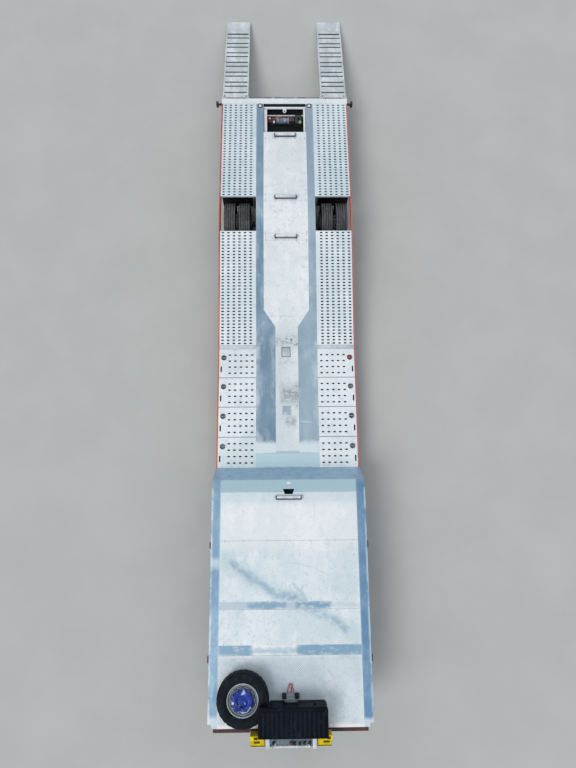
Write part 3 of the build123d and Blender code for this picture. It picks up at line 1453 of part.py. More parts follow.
# Air tank with domed ends under a cross member, mud flaps behind the wheels
TANK_S = LOW_STATIONS[PANELS + 2]
TANK_OUTLINE = [
    (-TANK_X, 0),
    (-TANK_X, TANK_R / 2),
    (TANK_DOME - TANK_X, TANK_R),
    (TANK_X - TANK_DOME, TANK_R),
    (TANK_X, TANK_R / 2),
    (TANK_X, 0),
]
member_foot = deck(TANK_S) - LOW_FLANGE - MEMBER_DEPTH
tank_strap = block(
    STRAP_X - STRAP_HALF, STRAP_X + STRAP_HALF, TANK_S - MEMBER_WIDTH / 2,
    TANK_S + MEMBER_WIDTH / 2, TANK_Z, member_foot,
)
air_tank = fused([turned_x(TANK_OUTLINE, 0, TANK_S, TANK_Z), *pair(tank_strap)])
flap_member_s = OPENING_REAR_S + REAR_LAND
flap_s = flap_member_s + MEMBER_WIDTH / 2
mud_flaps = pair(
    block(
        LEG_X, LANE_OUT - FLAP_EDGE, flap_s, flap_s + FLAP, FLAP_FOOT_Z,
        deck(flap_member_s) - TRAY_DEPTH - FLAP_EDGE,
    )
)


# Ramps: drawn level from the hinge axis, then laid down on the ground
def slat(u0, u1, depth):
    """Outline of a folded slat between two places along the ramp, open below."""
    top = RAMP_TOP - SLAT_DROP
    return [
        (u0, top),
        (u1, top),
        (u1, top - depth),
        (u1 - LUG_GAP, top - depth),
        (u1 - LUG_GAP, top - LUG_GAP),
        (u0 + LUG_GAP, top - LUG_GAP),
        (u0 + LUG_GAP, top - depth),
        (u0, top - depth),
    ]


def ramp():
    cheek_outline = [
        (-CHEEK_NOSE, RAMP_TOP),
        (RAMP_LENGTH, RAMP_TOP),
        (RAMP_LENGTH, RAMP_TOE),
        (RAMP_LENGTH - CHEEK_TAPER, -CHEEK_TOE),
        (CHEEK_FULL, -CHEEK_DEPTH),
        (CHEEK_HEEL, -CHEEK_DEPTH),
        (0, -CHEEK_STEP),
        (-CHEEK_NOSE, -CHEEK_NOSE),
    ]
    inner_x = RAMP_IN + CHEEK
    outer_x = RAMP_OUT - CHEEK
    nose_in = inner_x + LUG_GAP + LUG + LUG_GAP
    nose_out = outer_x - LUG_GAP - LUG - LUG_GAP
    toe_u = RAMP_LENGTH - TOE_PLATE
    pieces = [
        plate(cheek_outline, RAMP_IN, inner_x),
        plate(cheek_outline, outer_x, RAMP_OUT),
        block(inner_x, outer_x, toe_u, RAMP_LENGTH, RAMP_TOP - TOE_SHEET, RAMP_TOP),
        plate(slat(NOSE_U, HEAD_U, SLAT_DEPTH), inner_x, outer_x),
        block(nose_in, nose_out, -CHEEK_NOSE, NOSE_U, RAMP_TOP - SLAT_DROP - TOE_SHEET,
              RAMP_TOP - SLAT_DROP),
    ]
    for index in range(PAIRS):
        u = toe_u - SLAT_GAP - index * PAIR_PITCH
        wide_u = u - NARROW - SLAT_GAP
        pieces.append(plate(slat(u - NARROW, u, SLAT_DEPTH), inner_x, outer_x))
        pieces.append(plate(slat(wide_u - WIDE, wide_u, SLAT_DEPTH), inner_x, outer_x))
    whole = fused(pieces)
    whole = whole - rod(RAMP_IN - LUG, RAMP_OUT + LUG, 0, 0, EYE_R)
    return Pos(0, HINGE_S, HINGE_Z) * Rot(-RAMP_SLOPE, 0, 0) * whole


ramp_left = ramp()


# Middle of the whole, from the front frame to the ramps' toes
slope = math.radians(RAMP_SLOPE)
REAR_TIP_S = HINGE_S + RAMP_LENGTH * math.cos(slope) + RAMP_TOP * math.sin(slope)
Y_SHIFT = (FRAME_FRONT_S + REAR_TIP_S) / 2

NODES = {
    "main_beams": main_beams,
    "cross_members": members,
    "gooseneck_frame": gooseneck_frame,
    "gooseneck_bands": cross_bands,
    "gooseneck_deck_plates": deck_plates,
    "neck_plates": neck_plates,
    "centre_covers": centre_covers,
    "side_rails": side_rails,
    "front_panels": front_panels,
    "mid_lanes": mid_lanes,
    "rear_lanes": rear_lanes,
    "rear_beam": [rear_beam],
    "ramp_hinge_pins": pins,
    "underrun_bar": [underrun_bar],
    "number_plate": [number_plate],
    "tail_lamps": tail_lamps,
    "marker_lamps": marker_lamps,
    "rear_compartment": rear_compartment,
    "hydraulic_unit": hydraulic_unit,
    "rope_rollers": rollers,
    "roller_brackets": brackets,
    "coupler_plate": [coupler_plate],
    "kingpin": [kingpin],
    "landing_legs": landing_legs,
    "landing_feet": landing_feet,
    "landing_shaft": landing_shaft,
    "front_beam": [front_beam],
    "front_frame": [front_frame],
    "chock_holders": chock_holders,
    "wheel_chocks": wheel_chocks,
    "winch_block": [winch_block],
    "winch_cover": [cover],
    "winch_fairlead": [fairlead],
    "winch_hook": winch_hook,
    "spare_tyre": [spare_tyre],
    "spare_rim": [spare_rim],
    "axle_beam": [axle_beam],
    "suspension_arms": pair(arm),
    "hanger_brackets": pair(hanger),
    "pivot_pins": pair(pivot_pin),
    "air_springs": pair(air_spring),
    "air_tank": [air_tank],
    "mud_flaps": mud_flaps,
    "tyres_left": tyres_left,
    "rims_left": rims_left,
    "hub_left": [hub_left],
    "tyres_right": [mirrored(t) for t in tyres_left],
    "rims_right": [mirrored(r) for r in rims_left],
    "hub_right": [mirrored(hub_left)],
    "ramp_left": [ramp_left],
    "ramp_right": [mirrored(ramp_left)],
}

for name, shapes in NODES.items():
    solids = [solid for shape in shapes for solid in shape.solids()]
    whole = Compound(children=solids) if len(solids) > 1 else solids[0]
    export_step(Pos(0, -Y_SHIFT, 0) * whole, f"parts/{name}.step")
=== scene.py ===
import json
import math

import bmesh
import bpy
from mathutils import Matrix, Vector


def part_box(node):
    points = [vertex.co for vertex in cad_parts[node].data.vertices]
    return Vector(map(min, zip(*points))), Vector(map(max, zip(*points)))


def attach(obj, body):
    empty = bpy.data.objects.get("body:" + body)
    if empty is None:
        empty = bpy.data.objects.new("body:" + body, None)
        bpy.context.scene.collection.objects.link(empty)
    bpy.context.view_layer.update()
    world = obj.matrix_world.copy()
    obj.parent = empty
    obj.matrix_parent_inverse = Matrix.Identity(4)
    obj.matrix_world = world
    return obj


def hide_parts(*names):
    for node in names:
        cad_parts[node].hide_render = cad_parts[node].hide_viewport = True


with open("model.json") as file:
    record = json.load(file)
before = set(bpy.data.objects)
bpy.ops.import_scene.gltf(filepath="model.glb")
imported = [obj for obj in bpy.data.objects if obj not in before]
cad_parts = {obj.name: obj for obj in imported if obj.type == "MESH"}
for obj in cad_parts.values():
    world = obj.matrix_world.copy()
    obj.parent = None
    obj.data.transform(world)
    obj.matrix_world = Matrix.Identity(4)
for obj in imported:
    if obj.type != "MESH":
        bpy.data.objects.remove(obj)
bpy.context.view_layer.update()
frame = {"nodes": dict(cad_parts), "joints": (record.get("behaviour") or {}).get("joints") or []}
nodes = frame["nodes"]

# Places: stations run rearward from the front edge of the gooseneck deck, as in the part's source
FRONT_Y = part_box("gooseneck_deck_plates")[0].y
GOOSENECK_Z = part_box("gooseneck_deck_plates")[1].z
AXLE_S = (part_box("hub_left")[0].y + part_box("hub_left")[1].y) / 2 - FRONT_Y
LANE_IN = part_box("main_beams")[1].x
LANE_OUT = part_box("mid_lanes")[1].x
LOW_LINE = ((4.005, 0.5), (6.28, 0.5), (8.806, 0.82), (11.36, 0.66))
TOP_LINE = ((0.0, 1.08), (3.55, 1.08), (3.754, 1.02))


def at(s):
    """Frame Y of a station."""
    return FRONT_Y + s


def deck(s, line=LOW_LINE):
    """Height of the deck at a station."""
    for (s0, z0), (s1, z1) in zip(line, line[1:]):
        if s <= s1:
            break
    return z0 + (z1 - z0) * (s - s0) / (s1 - s0)


def tilt(s):
    """Angle by which the low deck rises to the rear at a station."""
    return math.atan((deck(s + 0.001) - deck(s - 0.001)) / 0.002)


def place(x, s, z):
    return Matrix.Translation((x, at(s), z))


def on_deck(x, s):
    """Place on the low deck, leaning with it."""
    return place(x, s, deck(s)) @ Matrix.Rotation(tilt(s), 4, "X")


def facing(side):
    """Turn that lays local Z along X, outward on that side."""
    return Matrix.Rotation(side * math.pi / 2, 4, "Y")


def circle(count, start=0.0):
    """Cosine and sine at even steps of a full turn."""
    angles = [2 * math.pi * (i + start) / count for i in range(count)]
    return [(math.cos(angle), math.sin(angle)) for angle in angles]


def band(low, high, inner, outer):
    """Outline of a ring round local Z."""
    return [(low, inner), (low, outer), (high, outer), (high, inner)]


def spun(section, count):
    """Rings of (across, radius) points about local X."""
    return [[(a, r * c, r * s) for a, r in section] for c, s in circle(count)]


def add_object(name, data):
    """New object in the scene's own collection."""
    obj = bpy.data.objects.new(name, data)
    bpy.context.scene.collection.objects.link(obj)
    return obj


def belt(a, b, count):
    """Faces between two rings of points that start at a and at b."""
    pairs = [(i, (i + 1) % count) for i in range(count)]
    return [(a + i, a + j, b + j, b + i) for i, j in pairs]


def centre_of(ring):
    return [sum(values) / len(ring) for values in zip(*ring)]


# Materials
def add_node(tree, kind, inputs, out=0, **settings):
    """New shader node with its settings and inputs; gives the output of that number."""
    node = tree.nodes.new("ShaderNode" + kind)
    for key, value in settings.items():
        setattr(node, key, value)
    for index, value in inputs.items():
        if isinstance(value, bpy.types.NodeSocket):
            tree.links.new(value, node.inputs[index])
        else:
            node.inputs[index].default_value = value
    return node.outputs[out]


class Finish:
    """A material's node tree, built by short calls. Every pattern reads object coordinates."""

    def __init__(self, name, roughness=0.5, metallic=0.0, specular=0.5, coat=0.0):
        self.material = bpy.data.materials.new(name)
        self.material.use_nodes = True
        self.tree = self.material.node_tree
        self.shader = self.tree.nodes["Principled BSDF"]
        self.shader.inputs["Roughness"].default_value = roughness
        self.shader.inputs["Metallic"].default_value = metallic
        self.shader.inputs["Specular IOR Level"].default_value = specular
        self.shader.inputs["Coat Weight"].default_value = coat
        self.place = self.node("TexCoord", {}, "Object")
        self.tint = (0.5, 0.5, 0.5, 1.0)
        self.heights = []
        self.ragged = {}

    def node(self, kind, inputs, out=0, **settings):
        return add_node(self.tree, kind, inputs, out, **settings)

    def maths(self, a, b, operation="ADD"):
        return self.node("Math", {0: a, 1: b}, operation=operation)

    def times(self, a, b):
        return self.maths(a, b, "MULTIPLY")

    def absolute(self, value):
        return self.node("Math", {0: value}, operation="ABSOLUTE")

    def vectors(self, a, b, operation, out=0):
        """Vector maths; out is 1 where the result is a number."""
        return self.node("VectorMath", {0: a, 1: b}, out, operation=operation)

    def noise(self, scale, stretch=(1, 1, 1), detail=4.0, rough=0.6, shift=(0, 0, 0)):
        place = self.node("Mapping", {0: self.place, 1: shift, 3: stretch})
        return self.node("TexNoise", {"Vector": place, "Scale": scale, "Detail": detail,
                                      "Roughness": rough})

    def rise(self, value, low, high, out_low=0.0, out_high=1.0):
        """Smooth step of a value between two limits."""
        return self.node("MapRange", {0: value, 1: low, 2: high, 3: out_low, 4: out_high},
                         interpolation_type="SMOOTHSTEP")

    def between(self, value, low, high, soft):
        """One from low to high, nought outside, with soft ends."""
        return self.times(self.rise(value, low - soft, low + soft),
                          self.rise(value, high - soft, high + soft, 1, 0))

    def mixed(self, fac, a, b, mode="MIX"):
        a, b = (v if isinstance(v, bpy.types.NodeSocket) else (*v[:3], 1.0) for v in (a, b))
        return self.node("Mix", {0: fac, 6: a, 7: b}, 2, data_type="RGBA", blend_type=mode)

    def over(self, fac, colour, mode="MIX"):
        """Lay a colour over the tint so far."""
        self.tint = self.mixed(fac, self.tint, colour, mode)

    def patch(self, colour, x0, x1, s0, s1, soft, ragged, depth=1.0):
        """Lay a colour over a rectangle in plan."""
        zone = self.zone(x0, x1, s0, s1, soft, ragged)
        self.over(zone if depth == 1.0 else self.times(zone, depth), colour)

    def shade(self, colour, x0, x1, s0, s1, soft, ragged):
        """Multiply the tint by a colour in a rectangle in plan."""
        self.over(self.zone(x0, x1, s0, s1, soft, ragged), colour, "MULTIPLY")

    def specks(self, colour, low, high, depth, *noise):
        """Lay a colour where noise rises between two limits."""
        self.over(self.rise(self.noise(*noise), low, high, 0, depth), colour)

    def mark(self, colour, points, width, soft, ragged, depth=1.0):
        """Lay a colour along a line in plan."""
        trail = self.trail(points, width, soft, ragged)
        self.over(trail if depth == 1.0 else self.times(trail, depth), colour)

    def rough_place(self, amount):
        """Coordinates pushed about by noise, for ragged edges, with their X, Y and Z."""
        if amount not in self.ragged:
            place = self.place
            if amount:
                noise = self.node("TexNoise", {"Vector": place, "Scale": 9.0, "Detail": 5.0}, 1)
                push = self.vectors(noise, (0.5, 0.5, 0.5), "SUBTRACT")
                push = self.vectors(push, (amount, amount, amount), "MULTIPLY")
                place = self.vectors(place, push, "ADD")
            self.ragged[amount] = (place, *self.node("SeparateXYZ", {0: place}).node.outputs)
        return self.ragged[amount]

    def width(self):
        """Distance from the trailer's middle plane."""
        return self.absolute(self.rough_place(0.0)[1])

    def height(self, amount=0.0):
        return self.rough_place(amount)[3]

    def zone(self, x0, x1, s0, s1, soft, ragged):
        """Mask of a rectangle in plan, its edges soft and ragged."""
        _, x, y, _ = self.rough_place(ragged)
        return self.times(self.between(x, x0, x1, soft), self.between(y, at(s0), at(s1), soft))

    def trail(self, points, width, soft, ragged):
        """Mask along a line of (x, station) points in plan."""
        place = self.vectors(self.rough_place(ragged)[0], (1, 1, 0), "MULTIPLY")
        nearest = None
        for (x0, s0), (x1, s1) in zip(points, points[1:]):
            start = Vector((x0, at(s0), 0))
            run = Vector((x1, at(s1), 0)) - start
            away = self.vectors(place, start, "SUBTRACT")
            along = self.vectors(away, run / run.length_squared, "DOT_PRODUCT", 1)
            along = self.node("Math", {0: along, 1: 1.0}, operation="MULTIPLY", use_clamp=True)
            foot = self.node("VectorMath", {0: run, "Scale": along}, operation="SCALE")
            gap = self.vectors(away, foot, "DISTANCE", 1)
            nearest = gap if nearest is None else self.maths(nearest, gap, "MINIMUM")
        return self.rise(nearest, width - soft, width + soft, 1, 0)

    def distance_along(self, direction, origin):
        """Distance from a point, measured along a direction."""
        reach = self.vectors(self.place, direction, "DOT_PRODUCT", 1)
        return self.maths(reach, direction.dot(origin), "SUBTRACT")

    def weather(self, base, dark, light, size=1.6, fleck=0.35, streaks=0.25):
        """Base colour with broad stains, fine flecks and scuffs drawn out along the trailer."""
        broad = self.noise(size, (1, 0.6, 1), 5.0, 0.62)
        self.tint = self.mixed(self.rise(broad, 0.4, 0.62), dark, base)
        cloud = self.noise(size * 4.2, (1, 0.5, 1), 4.0, 0.6, (3, 1, 2))
        self.over(self.rise(cloud, 0.52, 0.74, 0, 0.8), light)
        fine = self.noise(70.0, (1, 1, 1), 2.0, 0.5)
        self.over(self.rise(fine, 0.58, 0.74, 0, fleck), dark)
        scuff = self.noise(26.0, (1, 0.07, 1), 3.0, 0.7, (5, 0, 0))
        self.over(self.rise(scuff, 0.6, 0.7, 0, streaks), light)
        scratch = self.noise(60.0, (1, 0.03, 1), 2.0, 0.5, (1, 4, 0))
        self.over(self.rise(scratch, 0.64, 0.7, 0, streaks * 1.4), dark)
        self.heights.append((fine, 0.35))

    def done(self, rough=None, strength=0.25, distance=0.002, grain=120.0):
        self.tree.links.new(self.tint, self.shader.inputs["Base Color"])
        height = self.noise(grain, (1, 1, 1), 3.0, 0.6)
        for other, weight in self.heights:
            height = self.maths(height, self.times(other, weight))
        bump = self.node("Bump", {"Strength": strength, "Distance": distance, "Height": height})
        self.tree.links.new(bump, self.shader.inputs["Normal"])
        if rough:
            wear = self.noise(6.0, (1, 0.4, 1), 4.0, 0.6, (7, 7, 7))
            value = self.rise(wear, 0.3, 0.7, rough[0], rough[1])
            self.tree.links.new(value, self.shader.inputs["Roughness"])
        return self.material


# Spans in X, softness with raggedness of a mask's edge, ranges of roughness, and colours
ACROSS, DECK_SPAN = (-1.3, 1.3), (-1.2, 1.2)
SHARP = (0.004, 0.0)
EVEN = (1, 1, 1)
DECK_SHEEN, BLUE_SHEEN, LENS_SHEEN = (0.42, 0.62), (0.36, 0.58), (0.1, 0.25)
WHITE = (0.8, 0.82, 0.845)
WHITE_SHADE = (0.68, 0.735, 0.76)
WHITE_LIGHT = (0.86, 0.87, 0.885)
BLUE = (0.27, 0.38, 0.48)
BLUE_DARK = (0.17, 0.26, 0.36)
BLUE_LIGHT = (0.45, 0.54, 0.6)
STEEL_BAND = (0.27, 0.43, 0.58)


def deck_white(name="deck_white"):
    f = Finish(name, 0.5, 0.1, 0.4)
    f.weather(WHITE, WHITE_SHADE, WHITE_LIGHT, 1.3, 0.32, 0.35)
    f.specks((0.56, 0.64, 0.66), 0.52, 0.68, 0.75, 9.0, (1, 0.8, 1), 6.0, 0.75, (4, 2, 9))
    f.specks((0.5, 0.57, 0.6), 0.57, 0.68, 0.85, 30.0, EVEN, 4.0, 0.7, (6, 3, 1))
    return f


def plain_white():
    f = deck_white()
    f.shade((0.95, 0.985, 1.0), *ACROSS, 6.2, 8.8, *SHARP)
    f.shade((0.86, 0.935, 0.975), *ACROSS, 8.8, 11.358, *SHARP)
    f.shade((0.96, 0.99, 1.0), *ACROSS, 4.0, 6.2, *SHARP)
    for s in (4.555, 5.105, 5.655):
        f.patch((0.16, 0.19, 0.21), *ACROSS, s - 0.01, s + 0.006, 0.003, 0.0, 0.6)
    return f.done(DECK_SHEEN, 0.2)


def deck_plate_finish():
    f = deck_white("gooseneck_plates")
    stain = (0.32, 0.45, 0.55)
    smear = ((-1.15, 2.47), (-0.93, 2.42), (-0.75, 2.28), (-0.44, 2.08), (-0.23, 1.93),
             (0.1, 1.88), (0.32, 1.7), (0.69, 1.55), (0.87, 1.42), (1.1, 1.24))
    faint = f.trail(smear, 0.105, 0.09, 0.24)
    mottle = f.rise(f.noise(6.0, EVEN, 5.0, 0.7, (2, 5, 1)), 0.34, 0.62, 0.25, 0.85)
    f.over(f.times(f.times(faint, mottle), 0.75), (0.5, 0.62, 0.67))
    core = f.trail(smear[1:6], 0.05, 0.045, 0.16)
    f.over(f.times(core, f.rise(f.noise(11.0), 0.3, 0.55, 0.2, 0.85)), stain)
    core = f.trail(smear[5:9], 0.055, 0.055, 0.15)
    f.over(f.times(core, f.rise(f.noise(11.0), 0.34, 0.6, 0.1, 0.75)), stain)
    f.mark(stain, ((0.05, 2.1), (0.2, 1.95), (0.26, 1.84)), 0.022, 0.03, 0.08, 0.5)
    f.mark((0.42, 0.48, 0.52), ((0.42, 3.41), (0.413, 3.05)), 0.004, 0.006, 0.01, 0.7)
    f.mark((0.48, 0.53, 0.57), ((0.0, 2.42), (0.35, 2.36), (0.62, 2.22)), 0.008, 0.014, 0.08, 0.45)
    for x, s, size in ((0.92, 2.1, 0.16), (-0.95, 1.62, 0.1), (-0.3, 2.75, 0.22),
                       (0.55, 1.4, 0.12)):
        f.patch((0.6, 0.67, 0.71), x - size, x + size, s - size, s + size, 0.09, 0.2, 0.35)
    f.shade((0.92, 0.96, 0.98), *DECK_SPAN, 1.19, 2.6, 0.15, 0.1)
    f.patch(WHITE_LIGHT, *DECK_SPAN, 2.7, 3.4, 0.15, 0.2, 0.35)
    f.patch((0.46, 0.6, 0.68), *DECK_SPAN, 3.37, 3.6, 0.06, 0.05, 0.4)
    f.patch((0.5, 0.62, 0.7), *ACROSS, 0.0, 1.035, 0.03, 0.02, 0.25)
    patch = f.rise(f.noise(3.4, (1, 1.3, 1), 5.0, 0.7, (9, 2, 0)), 0.5, 0.66)
    patch = f.times(patch, f.zone(*DECK_SPAN, 0.1, 1.04, 0.06, 0.05))
    f.over(f.times(patch, 0.45), (0.36, 0.48, 0.58))
    f.patch((0.34, 0.44, 0.52), -0.55, 0.45, 0.42, 0.95, 0.14, 0.2, 0.35)
    f.patch((0.8, 0.8, 0.8), *ACROSS, -0.01, 0.055, 0.012, 0.01)
    return f.done((0.38, 0.6), 0.22)


def checker_finish():
    """Worn bars of the tread plate: bright where polished, blue-grey where grimy."""
    f = Finish("checker_bars", 0.4, 0.2, 0.4)
    f.weather((0.5, 0.6, 0.67), (0.3, 0.41, 0.5), (0.76, 0.8, 0.82), 2.2, 0.3, 0.2)
    f.patch((0.2, 0.29, 0.37), -0.55, 0.45, 0.42, 0.95, 0.12, 0.15, 0.6)
    return f.done((0.34, 0.5), 0.2)


def cover_finish():
    """Centre covers; the neck cover carries the marks beside its two hatches."""
    f = deck_white("cover_white")
    f.shade((0.92, 0.93, 0.935), -0.5, 0.5, 4.2, 6.7, 0.25, 0.0)
    for x0, x1, s0, s1, depth in ((-0.12, 0.2, 5.12, 5.56, 0.45), (-0.02, 0.18, 4.72, 4.94, 0.35),
                                  (-0.2, 0.2, 6.24, 6.46, 0.3)):
        f.patch((0.38, 0.44, 0.48), x0, x1, s0, s1, 0.07, 0.12, depth)
    mark = (0.22, 0.3, 0.37)
    cracks = f.trail(((-0.2, 6.41), (-0.09, 6.36), (0.03, 6.32), (0.19, 6.28)), 0.01, 0.016, 0.11)
    f.over(f.times(cracks, f.rise(f.noise(20.0), 0.42, 0.55)), mark)
    scribble = f.rise(f.noise(30.0, (1, 0.7, 1), 5.0, 0.7, (1, 9, 4)), 0.52, 0.6)
    for x0, x1, s0, s1 in ((-0.22, -0.165, 6.27, 6.44), (0.165, 0.22, 6.24, 6.46),
                           (-0.03, 0.16, 6.31, 6.44), (-0.12, -0.05, 6.26, 6.34)):
        spot = f.zone(x0, x1, s0, s1, 0.02, 0.05)
        f.over(f.times(spot, scribble), (0.1, 0.13, 0.15))
    for x0, x1, s0, s1, depth in ((-0.1, 0.2, 5.18, 5.44, 1.0), (0.0, 0.16, 4.75, 4.92, 0.8),
                                  (0.14, 0.22, 5.1, 5.5, 0.9), (-0.13, 0.12, 5.9, 6.02, 0.45)):
        smudge = f.zone(x0, x1, s0, s1, 0.04, 0.16)
        broken = f.rise(f.noise(12.0, EVEN, 5.0, 0.75, (x0, s0, 0)), 0.42, 0.6)
        f.over(f.times(f.times(smudge, broken), depth), (0.29, 0.34, 0.38))
    f.patch(BLUE_LIGHT, -0.3, 0.3, 4.26, 4.3, 0.01, 0.02)
    return f.done(DECK_SHEEN, 0.2)


def strip_finish(name="strip_blue"):
    """Grey-blue rolled flanges, paler where tyres have worn them."""
    f = Finish(name, 0.42, 0.35)
    f.weather(BLUE, BLUE_DARK, BLUE_LIGHT, 1.1, 0.3, 0.4)
    f.specks((0.4, 0.5, 0.57), 0.5, 0.68, 0.6, 5.0, (1, 0.25, 1), 4.0, 0.65, (2, 8, 1))
    f.patch((0.15, 0.24, 0.35), -0.6, 0.6, 9.2, 11.36, 0.05, 0.0, 0.45)
    f.over(f.rise(f.rough_place(0.0)[1], 0.0, 0.4, 0, 0.35), (0.44, 0.54, 0.6))
    for x, s, reach in ((-0.56, 6.13, 0.13), (-0.57, 5.22, 0.09), (0.56, 5.75, 0.12)):
        f.patch((0.58, 0.66, 0.71), x - 0.06, x + 0.06, s - reach, s + reach, 0.045, 0.12, 0.55)
    f.mark((0.62, 0.68, 0.72), ((0.245, 4.83), (0.45, 4.82)), 0.006, 0.008, 0.02)
    edge = f.rise(f.absolute(f.rough_place(0.07)[1]), 0.47, 0.6)
    worn = f.rise(f.noise(2.6, EVEN, 4.0, 0.6, (1, 7, 5)), 0.42, 0.62)
    worn = f.times(f.times(edge, worn), f.zone(-0.7, 0.7, 4.4, 6.7, 0.2, 0.0))
    f.over(f.times(worn, 0.8), (0.55, 0.63, 0.68))
    f.patch((0.66, 0.73, 0.77), -0.7, 0.7, 3.9, 4.46, 0.05, 0.1)
    f.patch((0.47, 0.62, 0.68), -0.7, 0.7, 3.9, 4.265, 0.012, 0.02)
    return f


def neck_finish():
    f = strip_finish("neck_blue")
    # Painted shade: the steep step face between the decks, from 3.74 to 4.03, is painted a darker
    # blue-grey as its shade, mottled by noise.
    smudge = f.rise(f.noise(9.0, (1, 1.6, 0.7), 7.0, 0.8, (4, 4, 0)), 0.36, 0.74)
    smudge = f.times(smudge, f.zone(*ACROSS, 3.74, 4.03, 0.02, 0.02))
    f.patch((0.4, 0.58, 0.74), *ACROSS, 3.74, 4.02, 0.006, 0.0)
    f.over(f.times(smudge, 0.8), (0.25, 0.4, 0.55))
    return f.done(BLUE_SHEEN, 0.2)


def band_finish():
    """Flush cross bands: paint worn through to pale metal in places."""
    f = Finish("band_blue", 0.42, 0.25)
    f.weather(WHITE, WHITE_SHADE, WHITE_LIGHT, 1.3, 0.22, 0.35)
    broken = f.rise(f.noise(8.0, (1, 1.6, 1), 5.0, 0.7), 0.26, 0.5, 0.35, 1.0)
    for x0, x1, s0, s1, depth in (
        (-1.14, -0.62, 1.69, 1.85, 0.55), (-0.66, -0.06, 1.7, 1.84, 0.95),
        (0.1, 0.66, 1.71, 1.83, 1.0), (0.62, 1.14, 1.72, 1.82, 0.35), (-0.1, 0.14, 1.7, 1.84, 0.5),
        (-1.14, -0.6, 1.02, 1.2, 0.95), (-0.7, 0.24, 1.06, 1.13, 0.6),
        (0.1, 1.14, 1.02, 1.2, 1.0),
    ):
        mask = f.times(f.zone(x0, x1, s0, s1, 0.045, 0.1), depth)
        f.over(f.times(mask, broken), (0.21, 0.36, 0.49))
    f.patch((0.42, 0.58, 0.66), *ACROSS, 3.55, 3.8, *SHARP)
    f.patch((0.85, 0.88, 0.9), -0.03, 0.03, 3.68, 3.71, 0.01, 0.03)
    return f.done(BLUE_SHEEN, 0.2)


def side_finish():
    """Gooseneck side channels: blue-grey flange with a pale rubbed outer edge."""
    f = Finish("side_blue", 0.42, 0.3)
    f.weather(STEEL_BAND, (0.2, 0.34, 0.49), (0.42, 0.57, 0.7), 1.4, 0.3, 0.4)
    f.over(f.rise(f.rough_place(0.0)[1], 0.0, 0.4, 0, 0.75), (0.17, 0.28, 0.42))
    f.specks((0.38, 0.5, 0.6), 0.44, 0.64, 0.55, 3.0, (1, 0.6, 1), 5.0, 0.7, (8, 3, 2))
    f.specks((0.2, 0.3, 0.42), 0.5, 0.66, 0.55, 7.0, (1, 0.8, 1), 5.0, 0.75, (3, 5, 8))
    width = f.width()
    edge = f.times(f.rise(width, 1.235, 1.262), f.rise(f.height(), 1.05, 1.074))
    broken = f.rise(f.noise(8.0, (1, 0.4, 1), 4.0, 0.7), 0.36, 0.55)
    f.over(f.times(edge, f.times(broken, 0.85)), (0.66, 0.72, 0.77))
    inner = f.rise(width, 1.125, 1.15, 1, 0)
    f.over(f.times(inner, 0.5), (0.5, 0.62, 0.72))
    f.patch((0.6, 0.69, 0.76), -1.3, -1.1, 2.34, 2.5, 0.06, 0.1, 0.7)
    f.patch((0.64, 0.72, 0.78), -1.3, -1.1, -0.01, 0.16, 0.05, 0.1, 0.7)
    f.patch((0.55, 0.64, 0.72), 1.1, 1.3, -0.01, 0.12, 0.03, 0.06)
    f.shade((0.66, 0.79, 0.89), 1.1, 1.3, 0.12, 3.7, 0.05, 0.0)
    return f.done(BLUE_SHEEN, 0.2)


def painted(name, base, dark, light, roughness=(0.35, 0.55), metallic=0.0, size=2.4, grain=90.0,
            fleck=0.3, streaks=0.25, strength=0.2, specular=0.4):
    f = Finish(name, 0.5, metallic, specular)
    f.weather(base, dark, light, size, fleck, streaks)
    return f.done(roughness, strength, 0.0015, grain)


def rail_finish():
    f = Finish("rail_red", 0.4)
    f.weather((0.56, 0.085, 0.04), (0.33, 0.045, 0.03), (0.66, 0.15, 0.08), 2.0, 0.3, 0.3)
    # Painted light: the rail on the -X side is painted a brighter orange as its sunlit side, and the
    # rail on the +X side a pinker, duller red as its shaded side.
    f.patch((0.72, 0.17, 0.03), -1.4, -1.1, 4.0, 7.2, 0.5, 0.2)
    f.patch((0.5, 0.16, 0.14), 1.1, 1.4, 4.0, 11.4, 0.3, 0.1)
    f.specks((0.17, 0.07, 0.04), 0.6, 0.72, 0.7, 22.0, (1, 0.4, 1), 5.0, 0.7, (3, 3, 3))
    return f.done((0.32, 0.55), 0.25)


ramp_joint = [j for j in frame["joints"] if j["name"] == "ramp_left_hinge"][0]
HINGE_Y, HINGE_Z = ramp_joint["pos_m"][1], ramp_joint["pos_m"][2]
RAMP_LENGTH, RAMP_TOP, RAMP_TOE = 2.5, 0.035, -0.005
PAIR_PITCH = 0.322
SLOPE = math.asin(HINGE_Z / math.hypot(RAMP_LENGTH, RAMP_TOE)) + math.atan2(RAMP_TOE, RAMP_LENGTH)


